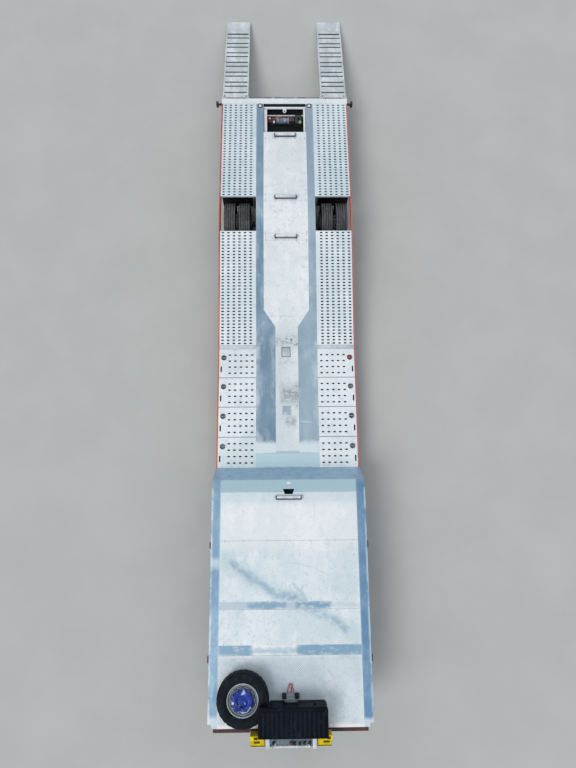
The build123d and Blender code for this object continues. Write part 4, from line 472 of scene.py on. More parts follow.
def ramp_finish():
    f = Finish("ramp_alloy", 0.45, 0.25)
    f.weather((0.68, 0.73, 0.765), (0.5, 0.555, 0.59), (0.8, 0.825, 0.84), 2.6, 0.3, 0.6)
    f.specks((0.42, 0.455, 0.48), 0.5, 0.66, 0.45, 9.0, (1, 0.12, 1), 4.0, 0.7, (1, 1, 1))
    hinge = Vector((0, HINGE_Y, HINGE_Z))
    height = f.distance_along(Vector((0, math.sin(SLOPE), math.cos(SLOPE))), hinge)
    inside = f.between(f.width(), 0.7675, 1.2325, 0.0015)
    # Painted shade: between the cheeks, everything lower than the slat tops is painted near black,
    # standing for the shade in the gaps between the slats.
    low = f.rise(height, 0.012, 0.026, 1, 0)
    f.over(f.times(inside, low), (0.025, 0.03, 0.034))
    # Painted shade: dark bands along the slat edges on either side of each gap stand for the shade
    # on the slats' rounded edges.
    reach = f.distance_along(Vector((0, math.cos(SLOPE), -math.sin(SLOPE))), hinge)
    beat = f.maths(f.maths(reach, 1.695 - 8 * PAIR_PITCH, "SUBTRACT"), PAIR_PITCH, "FLOORED_MODULO")
    shaded_edges = None
    for centre in (0.05, 0.244):
        away = f.absolute(f.maths(beat, centre, "SUBTRACT"))
        band = f.rise(away, 0.016, 0.024, 1, 0)
        shaded_edges = band if shaded_edges is None else f.maths(shaded_edges, band, "MAXIMUM")
    shaded_edges = f.times(shaded_edges, f.between(reach, 0.115, 2.095, 0.005))
    f.over(f.times(f.times(shaded_edges, inside), 0.85), (0.1, 0.125, 0.14))
    return f.done((0.35, 0.6), 0.3)


def rubber_finish(name, base=(0.007, 0.011, 0.016), dusty=0.25):
    f = Finish(name, 0.6, 0.0, 0.08)
    f.weather(base, tuple(c * 0.6 for c in base), tuple(c * 2.0 for c in base), 6.0, 0.3, 0.1)
    f.specks((0.07, 0.075, 0.08), 0.52, 0.72, dusty, 11.0, EVEN, 5.0, 0.7, (6, 1, 0))
    return f.done((0.42, 0.7), 0.35, 0.0012, 260.0)


def tread_finish():
    """Worn tread: paler than the walls, the grooves left dark by their depth."""
    f = Finish("tread_rubber", 0.7, 0.0, 0.3)
    f.weather((0.08, 0.084, 0.09), (0.045, 0.048, 0.052), (0.15, 0.15, 0.15), 7.0, 0.3, 0.3)
    return f.done((0.55, 0.8), 0.4, 0.0015, 200.0)


def plastic_black():
    f = Finish("cover_plastic", 0.42, 0.0, 0.06)
    f.weather((0.004, 0.006, 0.012), (0.002, 0.003, 0.006), (0.014, 0.02, 0.034), 3.0, 0.3, 0.3)
    f.specks((0.02, 0.03, 0.046), 0.55, 0.75, 0.35, 4.0, (1, 1.6, 1), 5.0, 0.7, (5, 9, 1))
    # Painted sheen: above about 1.47 m the cover is painted a lighter blue-black, as the sheen on
    # its top.
    f.over(f.rise(f.height(), 1.466, 1.473, 0, 0.5), (0.012, 0.018, 0.028))
    return f.done((0.34, 0.55), 0.3, 0.0012, 320.0)


def rim_disc_blue():
    f = Finish("rim_blue", 0.3, 0.2, 0.15, coat=0.06)
    f.weather((0.016, 0.045, 0.32), (0.008, 0.02, 0.13), (0.06, 0.12, 0.5), 7.0, 0.3, 0.2)
    # Pale flecks on the blue disc: the fine ones are chipped paint, and the larger pale patches are
    # painted highlights.
    f.specks((0.4, 0.47, 0.6), 0.62, 0.72, 0.8, 30.0, EVEN, 4.0, 0.7, (8, 0, 0))
    f.specks((0.5, 0.58, 0.72), 0.6, 0.64, 0.8, 15.0, EVEN, 2.0, 0.5, (3, 1, 6))
    return f.done((0.24, 0.45), 0.15)


def lens(name, base, dark):
    f = Finish(name, 0.15, 0.0, 0.4, coat=0.25)
    f.weather(base, dark, tuple(min(1.0, c * 1.5) for c in base), 20.0, 0.2, 0.1)
    ridge = f.node("TexWave", {"Vector": f.place, "Scale": 90.0}, wave_type="BANDS")
    f.heights.append((ridge, 0.8))
    return f


def marker_finish():
    """Small lamps: red at the sides, black arms at the rear corners, clear over the plate."""
    f = lens("lens_marker", (0.13, 0.007, 0.008), (0.06, 0.004, 0.005))
    width = f.width()
    back = f.rise(f.rough_place(0.0)[2], at(11.1), at(11.2))
    f.over(f.times(back, f.rise(width, 1.0, 1.1)), (0.01, 0.011, 0.013))
    f.over(f.times(back, f.rise(width, 1.366, 1.372)), (0.045, 0.006, 0.006))
    f.over(f.times(back, f.rise(width, 0.5, 0.6, 1, 0)), (0.58, 0.6, 0.62))
    return f.done((0.2, 0.4), 0.2, 0.001)


def tail_finish():
    """Tail lamps red, the two lamps over the number plate clear."""
    f = lens("lens_tail", (0.32, 0.012, 0.012), (0.16, 0.006, 0.008))
    f.patch((0.42, 0.45, 0.47), -0.5, 0.5, 11.0, 12.0, 0.01, 0.0)
    return f.done(LENS_SHEEN, 0.3)


def beam_finish():
    """Rear beam: white, its front face painted near black below 0.65 m."""
    f = deck_white("beam_white")
    front = f.zone(-0.43, 0.43, 11.3, 11.362, 0.0015, 0.0)
    f.over(f.times(front, f.rise(f.height(), 0.65, 0.656, 1, 0)), (0.035, 0.05, 0.06))
    return f.done(DECK_SHEEN, 0.2)


def well_finish():
    """Compartment: white plates and cross bar, painted near black below about 0.55 m, over the floor
    and feet.
    """
    f = deck_white("well_white")
    f.over(f.rise(f.height(0.03), 0.545, 0.6, 1, 0), (0.008, 0.01, 0.013))
    f.shader.inputs["Specular IOR Level"].default_value = 0.12
    return f.done((0.5, 0.7), 0.2)


def unit_finish():
    """Hydraulic unit: grey-blue motor, brown pump and valve, dark tank, pinkish pipe."""
    f = Finish("unit_paint", 0.45, 0.2, 0.3)
    f.weather((0.17, 0.21, 0.27), (0.06, 0.08, 0.11), (0.34, 0.4, 0.47), 5.0, 0.35, 0.3)
    f.patch((0.07, 0.04, 0.045), 0.092, 0.205, 10.9, 11.1, *SHARP)
    f.patch((0.035, 0.045, 0.045), 0.205, 0.36, 10.8, 11.11, *SHARP)
    f.patch((0.085, 0.042, 0.04), -0.36, -0.2, 10.9, 11.08, *SHARP)
    f.patch((0.56, 0.49, 0.51), -0.4, 0.4, 11.112, 11.16, 0.002, 0.0)
    return f.done((0.35, 0.6), 0.25)


def frame_finish():
    """Front frame: pale end dishes and tubes, a dark shelf between them, all darker towards the
    bottom.
    """
    f = Finish("frame_pale", 0.42, 0.15, 0.4)
    f.weather((0.7, 0.735, 0.77), (0.52, 0.57, 0.61), (0.82, 0.84, 0.86), 5.0, 0.3, 0.25)
    f.patch((0.14, 0.19, 0.23), -0.322, 0.322, -0.192, 0.05, *SHARP)
    f.over(f.rise(f.height(0.02), 1.05, 1.12, 0.8, 0), (0.2, 0.24, 0.28))
    return f.done(BLUE_SHEEN, 0.2)


def hook_finish():
    f = Finish("hook_paint", 0.4, 0.0, 0.4)
    f.weather((0.5, 0.035, 0.05), (0.3, 0.02, 0.03), (0.8, 0.72, 0.74), 16.0, 0.3, 0.2)
    f.specks((0.78, 0.76, 0.78), 0.57, 0.63, 1, 34.0, (1, 0.5, 1), 3.0, 0.6, (1, 2, 3))
    return f.done((0.35, 0.55), 0.2)


def iron_finish():
    """Black ironwork; the fairlead's middle rubbed bright by the rope."""
    f = Finish("iron_black", 0.45, 0.0, 0.15)
    f.weather((0.022, 0.032, 0.036), (0.01, 0.014, 0.016), (0.055, 0.075, 0.08), 2.4)
    f.patch((0.44, 0.52, 0.57), -0.062, 0.062, 0.3, 0.8, 0.01, 0.02, 0.85)
    return f.done((0.35, 0.55), 0.2, 0.0015, 90.0)


def bare_steel(name, base=(0.42, 0.44, 0.46), rough=(0.28, 0.5)):
    f = Finish(name, 0.4, 0.8)
    f.weather(base, tuple(c * 0.6 for c in base), tuple(min(1.0, c * 1.4) for c in base), 9.0,
              0.4, 0.4)
    f.specks((0.2, 0.11, 0.07), 0.62, 0.74, 0.5, 40.0, EVEN, 4.0, 0.7, (2, 6, 0))
    return f.done(rough, 0.25)


FINISHES = {
    "white": plain_white(),
    "plates": deck_plate_finish(),
    "covers": cover_finish(),
    "strip": strip_finish().done((0.34, 0.56), 0.2),
    "neck": neck_finish(),
    "band": band_finish(),
    "side": side_finish(),
    "hatch": painted("hatch_blue", (0.42, 0.51, 0.58), (0.3, 0.39, 0.47), (0.58, 0.65, 0.7)),
    "checker": checker_finish(),
    "packing": painted("packing_grey", (0.58, 0.63, 0.67), (0.42, 0.47, 0.52), (0.7, 0.73, 0.75)),
    "well": well_finish(),
    "unit": unit_finish(),
    "frame_pale": frame_finish(),
    "marker": marker_finish(),
    "roller": painted("roller_white", (0.74, 0.78, 0.81), (0.52, 0.57, 0.61), (0.86, 0.88, 0.9),
                      (0.3, 0.45), 0.3, 9.0),
    "rail": rail_finish(),
    "maroon": painted("beam_maroon", (0.085, 0.036, 0.038), (0.045, 0.022, 0.024),
                      (0.15, 0.085, 0.08), specular=0.2),
    "under": painted("frame_grey", (0.2, 0.26, 0.32), (0.12, 0.16, 0.21), (0.3, 0.36, 0.42)),
    "ramp": ramp_finish(),
    "tread": tread_finish(),
    "wall": rubber_finish("sidewall_rubber"),
    "rubber": rubber_finish("soft_rubber", (0.012, 0.012, 0.014), 0.2),
    "dark": painted("pocket_dark", (0.03, 0.038, 0.046), (0.014, 0.018, 0.023),
                    (0.065, 0.075, 0.085), specular=0.15),
    # Black as painted shade: slot walls and floors, the panels' turned-down edges, the box under the
    # rope hole.
    "pit": painted("painted_shade_black", (0.012, 0.016, 0.02), (0.006, 0.008, 0.01), (0.03, 0.035, 0.04),
                   specular=0.05),
    "pocket": painted("pocket_grey", (0.17, 0.21, 0.25), (0.07, 0.09, 0.11), (0.3, 0.35, 0.39),
                      specular=0.2),
    "socket": painted("socket_brown", (0.09, 0.055, 0.008), (0.03, 0.02, 0.006), (0.28, 0.18, 0.01),
                      size=20.0, specular=0.15),
    "tail": tail_finish(),
    "beam": beam_finish(),
    "iron": iron_finish(),
    "pocket_red": painted("pocket_red", (0.42, 0.05, 0.05), (0.2, 0.03, 0.03),
                          (0.5, 0.12, 0.1)),
    "black": plastic_black(),
    # Spare rim's barrel: dark blue-grey as painted shade between its bright steps.
    "silver": painted("rim_silver", (0.16, 0.2, 0.25), (0.08, 0.1, 0.13), (0.3, 0.36, 0.42),
                      (0.28, 0.45), 0.3, 6.0),
    "rim_grey": painted("rim_grey", (0.45, 0.47, 0.5), (0.25, 0.26, 0.28), (0.6, 0.62, 0.64),
                        (0.3, 0.5), 0.4, 6.0),
    "blue": rim_disc_blue(),
    "hub": painted("hub_iron", (0.1, 0.1, 0.105), (0.05, 0.05, 0.055), (0.17, 0.16, 0.15),
                   (0.5, 0.7), 0.5, 8.0),
    "yellow": painted("chock_yellow", (0.84, 0.64, 0.003), (0.62, 0.45, 0.003),
                      (0.9, 0.71, 0.01), (0.38, 0.58), 0.0, 9.0, 220.0, 0.35, 0.2,
                      specular=0.1),
    "red_lens": lens("lens_red", (0.32, 0.012, 0.012), (0.16, 0.006, 0.008)).done(LENS_SHEEN, 0.3),
    "amber_lens": lens("lens_amber", (0.7, 0.2, 0.02), (0.42, 0.11, 0.01)).done(LENS_SHEEN, 0.3),
    "clear_lens": lens("lens_clear", (0.7, 0.72, 0.74), (0.5, 0.52, 0.54)).done(LENS_SHEEN, 0.3),
    "plate": painted("plate_blank", (0.78, 0.79, 0.8), (0.66, 0.67, 0.68), (0.84, 0.85, 0.86),
                     (0.3, 0.45)),
    "steel": bare_steel("bare_steel"),
    "bright": bare_steel("bright_steel", (0.6, 0.63, 0.66), (0.22, 0.4)),
    "winch": painted("winch_grey", (0.3, 0.34, 0.38), (0.17, 0.2, 0.23), (0.42, 0.46, 0.5)),
    "red": painted("valve_red", (0.4, 0.03, 0.03), (0.24, 0.02, 0.02), (0.5, 0.14, 0.12)),
    "hook": hook_finish(),
    "strap": painted("strap_pink", (0.62, 0.2, 0.22), (0.42, 0.1, 0.12), (0.82, 0.55, 0.56)),
    "primer": painted("pipe_primer", (0.52, 0.26, 0.23), (0.34, 0.16, 0.15), (0.66, 0.42, 0.38)),
    "green": painted("valve_green", (0.26, 0.42, 0.22), (0.12, 0.22, 0.1), (0.45, 0.6, 0.38)),
    "brass": bare_steel("brass", (0.62, 0.44, 0.18), (0.25, 0.45)),
}


# Mesh building
class Piece:
    """One object's faces, gathered from lofts, turned forms and plates, each with its material."""

    def __init__(self, name, body="chassis", slot="galvanised"):
        self.name, self.body, self.slot_name = name, body, slot
        self.points, self.faces, self.paint, self.used = [], [], [], []

    def colour(self, key):
        if key not in self.used:
            self.used.append(key)
        return self.used.index(key)

    def split(self, points, groups, move=None):
        """Add groups of faces, each with its material, on the same points."""
        base = len(self.points)
        self.points += [move @ Vector(p) for p in points] if move else [Vector(p) for p in points]
        for faces, key in groups:
            self.faces += [tuple(base + i for i in face) for face in faces]
            self.paint += [self.colour(key)] * len(faces)

    def add(self, points, faces, key, move=None):
        self.split(points, [(faces, key)], move)

    def loft(self, rings, key, move=None, closed=False):
        """Skin rings of equal length; the ends get caps, or closed joins last to first."""
        count = len(rings[0])
        points = [p for ring in rings for p in ring]
        faces = []
        for r in range(len(rings) - (0 if closed else 1)):
            faces += belt(r * count, (r + 1) % len(rings) * count, count)
        if not closed:
            faces.append(tuple(range(count))[::-1])
            faces.append(tuple((len(rings) - 1) * count + i for i in range(count)))
        self.add(points, faces, key, move)

    def box(self, x0, x1, s0, s1, z0, z1, key, cut=0.003):
        """Block with chamfered corners."""
        x0, x1 = sorted((x0, x1))
        cut = min(cut, (x1 - x0) / 2.2, (s1 - s0) / 2.2, (z1 - z0) / 2.2)

        def ring(z, inset):
            a, b, c, d = x0 + inset, x1 - inset, at(s0) + inset, at(s1) - inset
            return [(a + cut, c, z), (b - cut, c, z), (b, c + cut, z), (b, d - cut, z),
                    (b - cut, d, z), (a + cut, d, z), (a, d - cut, z), (a, c + cut, z)]

        rings = [ring(z0, cut * 0.9), ring(z0 + cut, 0), ring(z1 - cut, 0), ring(z1, cut * 0.9)]
        self.loft(rings, key)

    def turned(self, outline, key, move, count=24):
        """Turn (height, radius) points about local Z."""
        self.loft([[(r * c, r * s, h) for c, s in circle(count)] for h, r in outline], key, move)

    def tube(self, line, radius, key, count=10):
        """Round bar along (x, station, height) points."""
        path = [Vector((x, at(s), z)) for x, s, z in line]
        rings = []
        for i, point in enumerate(path):
            run = (path[min(i + 1, len(path) - 1)] - path[max(i - 1, 0)]).normalized()
            side = (run.orthogonal() if i == 0 else side - run * side.dot(run)).normalized()
            up = run.cross(side)
            rings.append([point + radius * (side * c + up * s) for c, s in circle(count)])
        self.loft(rings, key)

    def rivet(self, spot, radius, key):
        """Low round head, a little sunk at its foot."""
        head = [(-0.001, radius), (0.0015, radius - 0.001), (0.0022, radius - 0.005)]
        self.turned(head, key, spot, 10)

    def nut(self, spot, key, size, tall, turn=0.0):
        """Hexagon nut on its washer with the bolt's end, standing along local Z."""
        washer = [(0.0, size * 1.25), (0.002, size * 1.25), (0.002, size * 0.9)]
        self.turned(washer, key, spot, 14)
        rings = []
        for h, r in ((0.002, size * 0.9), (0.003, size), (tall, size), (tall + 0.0015, size * 0.86)):
            corners = [turn + math.pi / 3 * i for i in range(6)]
            rings.append([(r * math.cos(a), r * math.sin(a), h) for a in corners])
        self.loft(rings, key, spot)
        self.turned([(tall, size * 0.5), (tall + 0.006, size * 0.5), (tall + 0.008, size * 0.4)],
                    key, spot, 10)

    def finish(self, replaces=(), smooth=35.0):
        """Make the object, with sharp edges from the smooth angle up; it rides its body."""
        mesh = bpy.data.meshes.new(self.name)
        mesh.from_pydata(self.points, [], self.faces)
        for key in self.used:
            mesh.materials.append(FINISHES[key])
        mesh.polygons.foreach_set("material_index", self.paint)
        bm = bmesh.new()
        bm.from_mesh(mesh)
        bmesh.ops.recalc_face_normals(bm, faces=bm.faces)
        bm.to_mesh(mesh)
        bm.free()
        if smooth:
            mesh.shade_smooth()
            mesh.set_sharp_from_angle(angle=math.radians(smooth))
        obj = add_object(self.name, mesh)
        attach(obj, self.body)
        if replaces:
            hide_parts(*replaces)
        return obj


# Lanes: plates with pressed oblong holes
def oblong(cx, cs, length, width, count=16, along="x"):
    """Points round a hole with semicircular ends, in plan."""
    half = (length - width) / 2
    ring = []
    for c, s in circle(count, 0.5):
        u = math.copysign(half, c) + width / 2 * c
        v = width / 2 * s
        ring.append((cx + u, cs + v) if along == "x" else (cx - v, cs + u))
    return ring


def outline_of_cell(ring, x0, x1, s0, s1):
    """Points on a rectangle's edge facing the hole's points, four of them at its corners."""
    cx, cs = centre_of(ring)
    edge = []
    for x, s in ring:
        dx, ds = x - cx, s - cs
        reach = min(((x1 if dx > 0 else x0) - cx) / dx if abs(dx) > 1e-9 else 1e9,
                    ((s1 if ds > 0 else s0) - cs) / ds if abs(ds) > 1e-9 else 1e9)
        edge.append([cx + dx * reach, cs + ds * reach])
    for corner in ((x0, s0), (x1, s0), (x1, s1), (x0, s1)):
        nearest = min(edge, key=lambda p: (p[0] - corner[0]) ** 2 + (p[1] - corner[1]) ** 2)
        nearest[0], nearest[1] = corner
    return edge


def holed_cell(piece, cell, ring, lip, inside="pit", depth=0.03, sink=0.0025):
    """Rectangle of deck with one hole: pressed rim, wall and floor; by default the wall and floor
    are black as painted shade, closing the hole where only the dark below it would show.
    """
    cx, cs = centre_of(ring)
    count = len(ring)

    def grown(by):
        out = []
        for x, s in ring:
            dx, ds = x - cx, s - cs
            size = math.hypot(dx, ds)
            out.append((x + dx / size * by, s + ds / size * by))
        return out

    levels = [(outline_of_cell(ring, *cell), 0.0), (grown(lip), 0.0), (grown(lip * 0.35), sink),
              (ring, -sink), (ring, -depth)]
    points = [(x, at(s), deck(s) + dz) for level, dz in levels for x, s in level]
    faces = []
    for a in range(0, 4 * count, count):
        faces += belt(a, a + count, count)
    floor = tuple(4 * count + i for i in range(count))
    piece.split(points, [(faces[:3 * count], "white"), ([*faces[3 * count:], floor], inside)])


def flat_strip(piece, side, s0, s1, key):
    corners = [(LANE_IN, s0), (LANE_OUT, s0), (LANE_OUT, s1), (LANE_IN, s1)]
    piece.add([(side * x, at(s), deck(s)) for x, s in corners], [(0, 1, 2, 3)], key)


def skirts(piece, side, s0, s1, key):
    """Turned-down edges round a tray."""
    low, high = (LANE_IN, s0), (LANE_OUT, s1)
    left, right = (LANE_IN, s1), (LANE_OUT, s0)
    for a, b in ((low, left), (right, high), (low, right), (left, high)):
        edge = [(side * x, at(s), deck(s)) for x, s in (a, b)]
        edge += [(side * x, at(s), deck(s) - TRAY_DEPTH) for x, s in (b, a)]
        piece.add(edge, [(0, 1, 2, 3)], key)


SLOT_L, SLOT_W, SLOT_LIP = 0.047, 0.0245, 0.006
TRAY_DEPTH = 0.041
COLUMNS = [0.672 + 0.105 * i for i in range(6)]
HALF_COLUMN = 0.0525
TRAY_EDGE = 0.005


def slotted_tray(piece, side, s0, s1, rows):
    """Tray with a full field of slots between two stations."""
    pitch = (s1 - s0 - 2 * TRAY_EDGE) / rows
    start = s0 + TRAY_EDGE
    for r in range(rows):
        a = start + r * pitch
        for x in COLUMNS:
            x0 = LANE_IN if x == COLUMNS[0] else x - HALF_COLUMN
            x1 = LANE_OUT if x == COLUMNS[-1] else x + HALF_COLUMN
            ring = oblong(side * x, a + pitch / 2, SLOT_L, SLOT_W)
            holed_cell(piece, (*sorted((side * x0, side * x1)), a, a + pitch), ring, SLOT_LIP)
    for a, b in ((s0, start), (start + rows * pitch, s1)):
        flat_strip(piece, side, a, b, "white")
    skirts(piece, side, s0, s1, "white")


PACKING = (6.205, 6.271)
mid = Piece("mid_lane_plates", slot="deck_light")
rear = Piece("rear_lane_plates", slot="deck_light")
for side in (1, -1):
    slotted_tray(mid, side, 6.275, 8.464, 36)
    flat_strip(mid, side, *PACKING, "packing")
    skirts(mid, side, *PACKING, "packing")
    slotted_tray(rear, side, 9.185, 11.356, 35)
mid.finish(["mid_lanes"], 30.0)
rear.finish(["rear_lanes"], 30.0)

# Front panels: twenty slots, a lashing pot and a lashing slot each
PANEL_PITCH, PANEL_GAP = 0.55, 0.004
PANEL_COLUMNS = [0.64 + 0.104 * i for i in range(5)]
PANEL_ROWS = (0.085, 0.2, 0.315, 0.43)
POT_X, POT_BACK, POT_R = 1.166, 0.38, 0.05
BAR_HALF, BAR_Z, BAR_CROWN, BAR_R = 0.047, 0.485, 0.004, 0.008
LASH_X, LASH_BACK, LASH_L, LASH_W = 1.213, 0.16, 0.11, 0.025
panels = Piece("front_panel_plates", slot="deck_light")
for side in (1, -1):
    for n in range(4):
        s0 = 4.005 + n * PANEL_PITCH
        s1 = s0 + PANEL_PITCH - PANEL_GAP
        cuts_x = [LANE_IN] + [x + 0.052 for x in PANEL_COLUMNS]
        cuts_s = [s0] + [s0 + (a + b) / 2 for a, b in zip(PANEL_ROWS, PANEL_ROWS[1:])] + [s1]

        def flipped(cell, ring):
            if side > 0:
                return cell, ring
            return (-cell[1], -cell[0], cell[2], cell[3]), [(-u, v) for u, v in ring]

        for c, x in enumerate(PANEL_COLUMNS):
            for r, back in enumerate(PANEL_ROWS):
                cell = (cuts_x[c], cuts_x[c + 1], cuts_s[r], cuts_s[r + 1])
                cell, ring = flipped(cell, oblong(x, s0 + back, SLOT_L, SLOT_W))
                holed_cell(panels, cell, ring, SLOT_LIP)
        middle = s0 + 0.275
        cell, ring = flipped((cuts_x[-1], LANE_OUT, s0, middle),
                             oblong(LASH_X, s0 + LASH_BACK, LASH_L, LASH_W, 20, "s"))
        holed_cell(panels, cell, ring, 0.004)
        pot = [(POT_X + POT_R * c, s0 + POT_BACK + POT_R * s) for c, s in circle(28, 0.5)]
        cell, ring = flipped((cuts_x[-1], LANE_OUT, middle, s1), pot)
        inside = "pocket_red" if side > 0 and n == 3 else "pocket"
        holed_cell(panels, cell, ring, 0.007, inside, 0.031, 0.002)
        bar = [(POT_X - BAR_HALF, BAR_Z), (POT_X, BAR_Z + BAR_CROWN), (POT_X + BAR_HALF, BAR_Z)]
        panels.tube([(side * x, s0 + POT_BACK, z) for x, z in bar], BAR_R, "steel")
        # The panels' turned-down edges are black as painted shade, darkening the gaps between the
        # panels.
        skirts(panels, side, s0, s1, "pit")
panels.finish(["front_panels"], 30.0)

# Checker plate of the gooseneck's front, and the grip ribs on its rear bevel
checker = Piece("checker_pattern", slot="deck_light")
CHECKER_STEP, CHECKER_HALF, CHECKER_SIDE, CHECKER_RISE = 0.036, 0.0105, 0.0026, 0.0018
CHECKER_X, CHECKER_FRONT, CHECKER_BACK = 1.1, 0.05, 1.0
row = 0
s = CHECKER_FRONT
while s < CHECKER_BACK:
    turn = 1 if row % 2 else -1
    x = -CHECKER_X + (CHECKER_STEP / 2 if row % 2 else 0)
    dx, dy = CHECKER_HALF, CHECKER_HALF * turn
    px, py = CHECKER_SIDE * turn, -CHECKER_SIDE
    z, top = GOOSENECK_Z, GOOSENECK_Z + CHECKER_RISE
    while x < CHECKER_X:
        y = at(s)
        checker.add([(x - dx, y - dy, z), (x + px, y + py, z), (x + dx, y + dy, z),
                     (x - px, y - py, z), (x - dx * 0.5, y - dy * 0.5, top),
                     (x + dx * 0.5, y + dy * 0.5, top)],
                    [(0, 1, 4), (1, 5, 4), (1, 2, 5), (2, 3, 5), (3, 4, 5), (3, 0, 4)], "checker")
        x += CHECKER_STEP
    s += CHECKER_STEP / 2
    row += 1
checker.finish(smooth=0)

ribs = Piece("bevel_grip_ribs")
BEVEL_RIBS, BEVEL_PITCH, BEVEL_X = 75, 0.03, 1.11
for n in range(BEVEL_RIBS):
    x = -BEVEL_X + n * BEVEL_PITCH
    a = 3.61 if abs(x) < 0.105 else 3.56
    rings = []
    for s, h in ((a, 0.0), (a + 0.006, 0.003), (3.742, 0.003), (3.748, 0.0)):
        z = deck(s, TOP_LINE)
        rings.append([(x - 0.006, at(s), z - 0.001), (x - 0.003, at(s), z + h),
                      (x + 0.003, at(s), z + h), (x + 0.006, at(s), z - 0.001)])
    ribs.loft(rings, "band")
ribs.finish(smooth=0)

# Hatches of the neck cover, with their screws
hatch = Piece("neck_hatches", slot="deck_light")
HATCH_FOOT, SCREW_Z = 0.4985, 0.5036
hatch.box(-0.098, 0.068, 6.044, 6.238, HATCH_FOOT, 0.5022, "dark", 0.001)
hatch.box(-0.088, 0.058, 6.054, 6.228, HATCH_FOOT, 0.504, "packing", 0.002)
hatch.box(-0.088, 0.065, 4.951, 5.118, HATCH_FOOT, 0.5035, "hatch", 0.002)
for x, s in ((-0.078, 6.064), (0.048, 6.064), (-0.078, 6.218), (0.048, 6.218),
             (-0.076, 4.963), (0.053, 4.963), (-0.076, 5.106), (0.053, 5.106)):
    hatch.turned([(0, 0.006), (0.0018, 0.005), (0.0024, 0.002)], "steel", place(x, s, SCREW_Z), 10)
hatch.finish(smooth=40.0)

# Tyres and rims
TYRE_R = 0.3985
TYRE_STEPS, RIM_STEPS, HOLE_STEPS = 112, 96, 12
GROOVE_DEPTH, NOTCH_DEPTH, NOTCH_EVERY = 0.012, 0.0065, 4
BOLTS, BOLT_CIRCLE = 10, 0.124
HAND_HOLES = 10


def crown(across):
    """Radius of the tread, which falls a little towards its edges."""
    return TYRE_R - 0.0035 * (across / 0.1) ** 2


def tyre_rings():
    """Tyre section as rings of (across, radius), with ribs, grooves and notched shoulders."""
    half = [(0.086, 0.226), (0.095, 0.236), (0.1, 0.248), (0.108, 0.266), (0.1145, 0.29),
            (0.1165, 0.308), (0.116, 0.325), (0.1155, 0.334), (0.114, 0.35),
            (0.112, 0.366), (0.1095, 0.379), (0.1055, 0.3885), (0.1, 0.394)]
    ribs_at = [0.1, 0.0725, 0.0615, 0.026, 0.015, -0.015, -0.026, -0.0615, -0.0725, -0.1]
    tread = []
    for n in range(0, len(ribs_at) - 1, 2):
        a, b = ribs_at[n], ribs_at[n + 1]
        tread += [(a, crown(a)), ((a + b) / 2, crown((a + b) / 2)), (b, crown(b))]
        if n + 2 < len(ribs_at):
            c = ribs_at[n + 2]
            tread += [(b - 0.0015, crown(b) - GROOVE_DEPTH), (c + 0.0015, crown(c) - GROOVE_DEPTH)]
    other = [(-a, r) for a, r in reversed(half)]
    liner = [(0.08, 0.228), (0.095, 0.262), (0.1, 0.31), (0.09, 0.365)]
    inner = [(-a, r) for a, r in liner] + [(0, 0.38)] + liner[::-1]
    outline = half[:-1] + tread + other[1:] + inner
    shoulder = {i for i, (a, r) in enumerate(outline) if 0.065 < abs(a) < 0.108 and r > 0.383}
    rings = []
    for k, (c, s) in enumerate(circle(TYRE_STEPS)):
        ring = []
        for i, (a, r) in enumerate(outline):
            if i in shoulder and k % NOTCH_EVERY == 0:
                r -= NOTCH_DEPTH
            ring.append((a, r * c, r * s))
        rings.append(ring)
    tread_faces = [i for i, (a, r) in enumerate(outline) if r > 0.3885 and abs(a) < 0.105]
    return rings, outline, set(tread_faces)


TYRE_RINGS, TYRE_OUTLINE, TREAD_FACES = tyre_rings()


def add_tyre(piece, move, tread_key="tread"):
    count = len(TYRE_OUTLINE)
    points = [p for ring in TYRE_RINGS for p in ring]
    rows = len(TYRE_RINGS)
    tread, wall = [], []
    for r in range(rows):
        for i, face in enumerate(belt(r * count, (r + 1) % rows * count, count)):
            on_tread = {i, (i + 1) % count} <= TREAD_FACES
            (tread if on_tread else wall).append(face)
    piece.split(points, [(wall, "wall"), (tread, tread_key)], move)


RIM_HALF = [(0.046, 0.205), (0.06, 0.214), (0.084, 0.224), (0.088, 0.236), (0.093, 0.243),
            (0.098, 0.241), (0.099, 0.232), (0.094, 0.222), (0.088, 0.2165), (0.064, 0.207),
            (0.058, 0.199)]
RIM_OTHER = [(-a, r) for a, r in reversed(RIM_HALF)]
RIM_SECTION = RIM_OTHER[5:] + RIM_HALF + RIM_OTHER[:5]


DISC_FACE, DISC_BORE, TWO_TONE_R = 0.139, 0.088, 0.168


def disc_faces():
    """Wheel disc as a sheet given thickness: flat bolt face, dished skirt with hand holes."""
    bm = bmesh.new()
    count = HAND_HOLES * HOLE_STEPS
    levels = [(0.001, DISC_BORE), (0, DISC_BORE + 0.004), (0, 0.112), (0, 0.14), (0.002, 0.148),
              (0.008, 0.1545), (0.014, 0.16), (0.026, 0.168), (0.042, 0.1765), (0.056, 0.184),
              (0.066, 0.1895), (0.08, 0.197)]
    rings = []
    for drop, r in levels:
        ring = [(DISC_FACE - drop, r * c, r * s) for c, s in circle(count)]
        rings.append([bm.verts.new(point) for point in ring])
    gaps = {6: (4, 8), 7: (3, 9), 8: (3, 9), 9: (4, 8)}
    for n in range(len(levels) - 1):
        for k in range(count):
            low, high = gaps.get(n, (99, 0))
            if low <= k % HOLE_STEPS < high:
                continue
            j = (k + 1) % count
            bm.faces.new((rings[n][k], rings[n][j], rings[n + 1][j], rings[n + 1][k]))
    bmesh.ops.recalc_face_normals(bm, faces=bm.faces)
    bmesh.ops.solidify(bm, geom=bm.faces[:], thickness=-0.01)
    points = [v.co.copy() for v in bm.verts]
    bm.verts.index_update()
    faces = [tuple(v.index for v in f.verts) for f in bm.faces]
    bm.free()
    return points, faces


DISC = disc_faces()


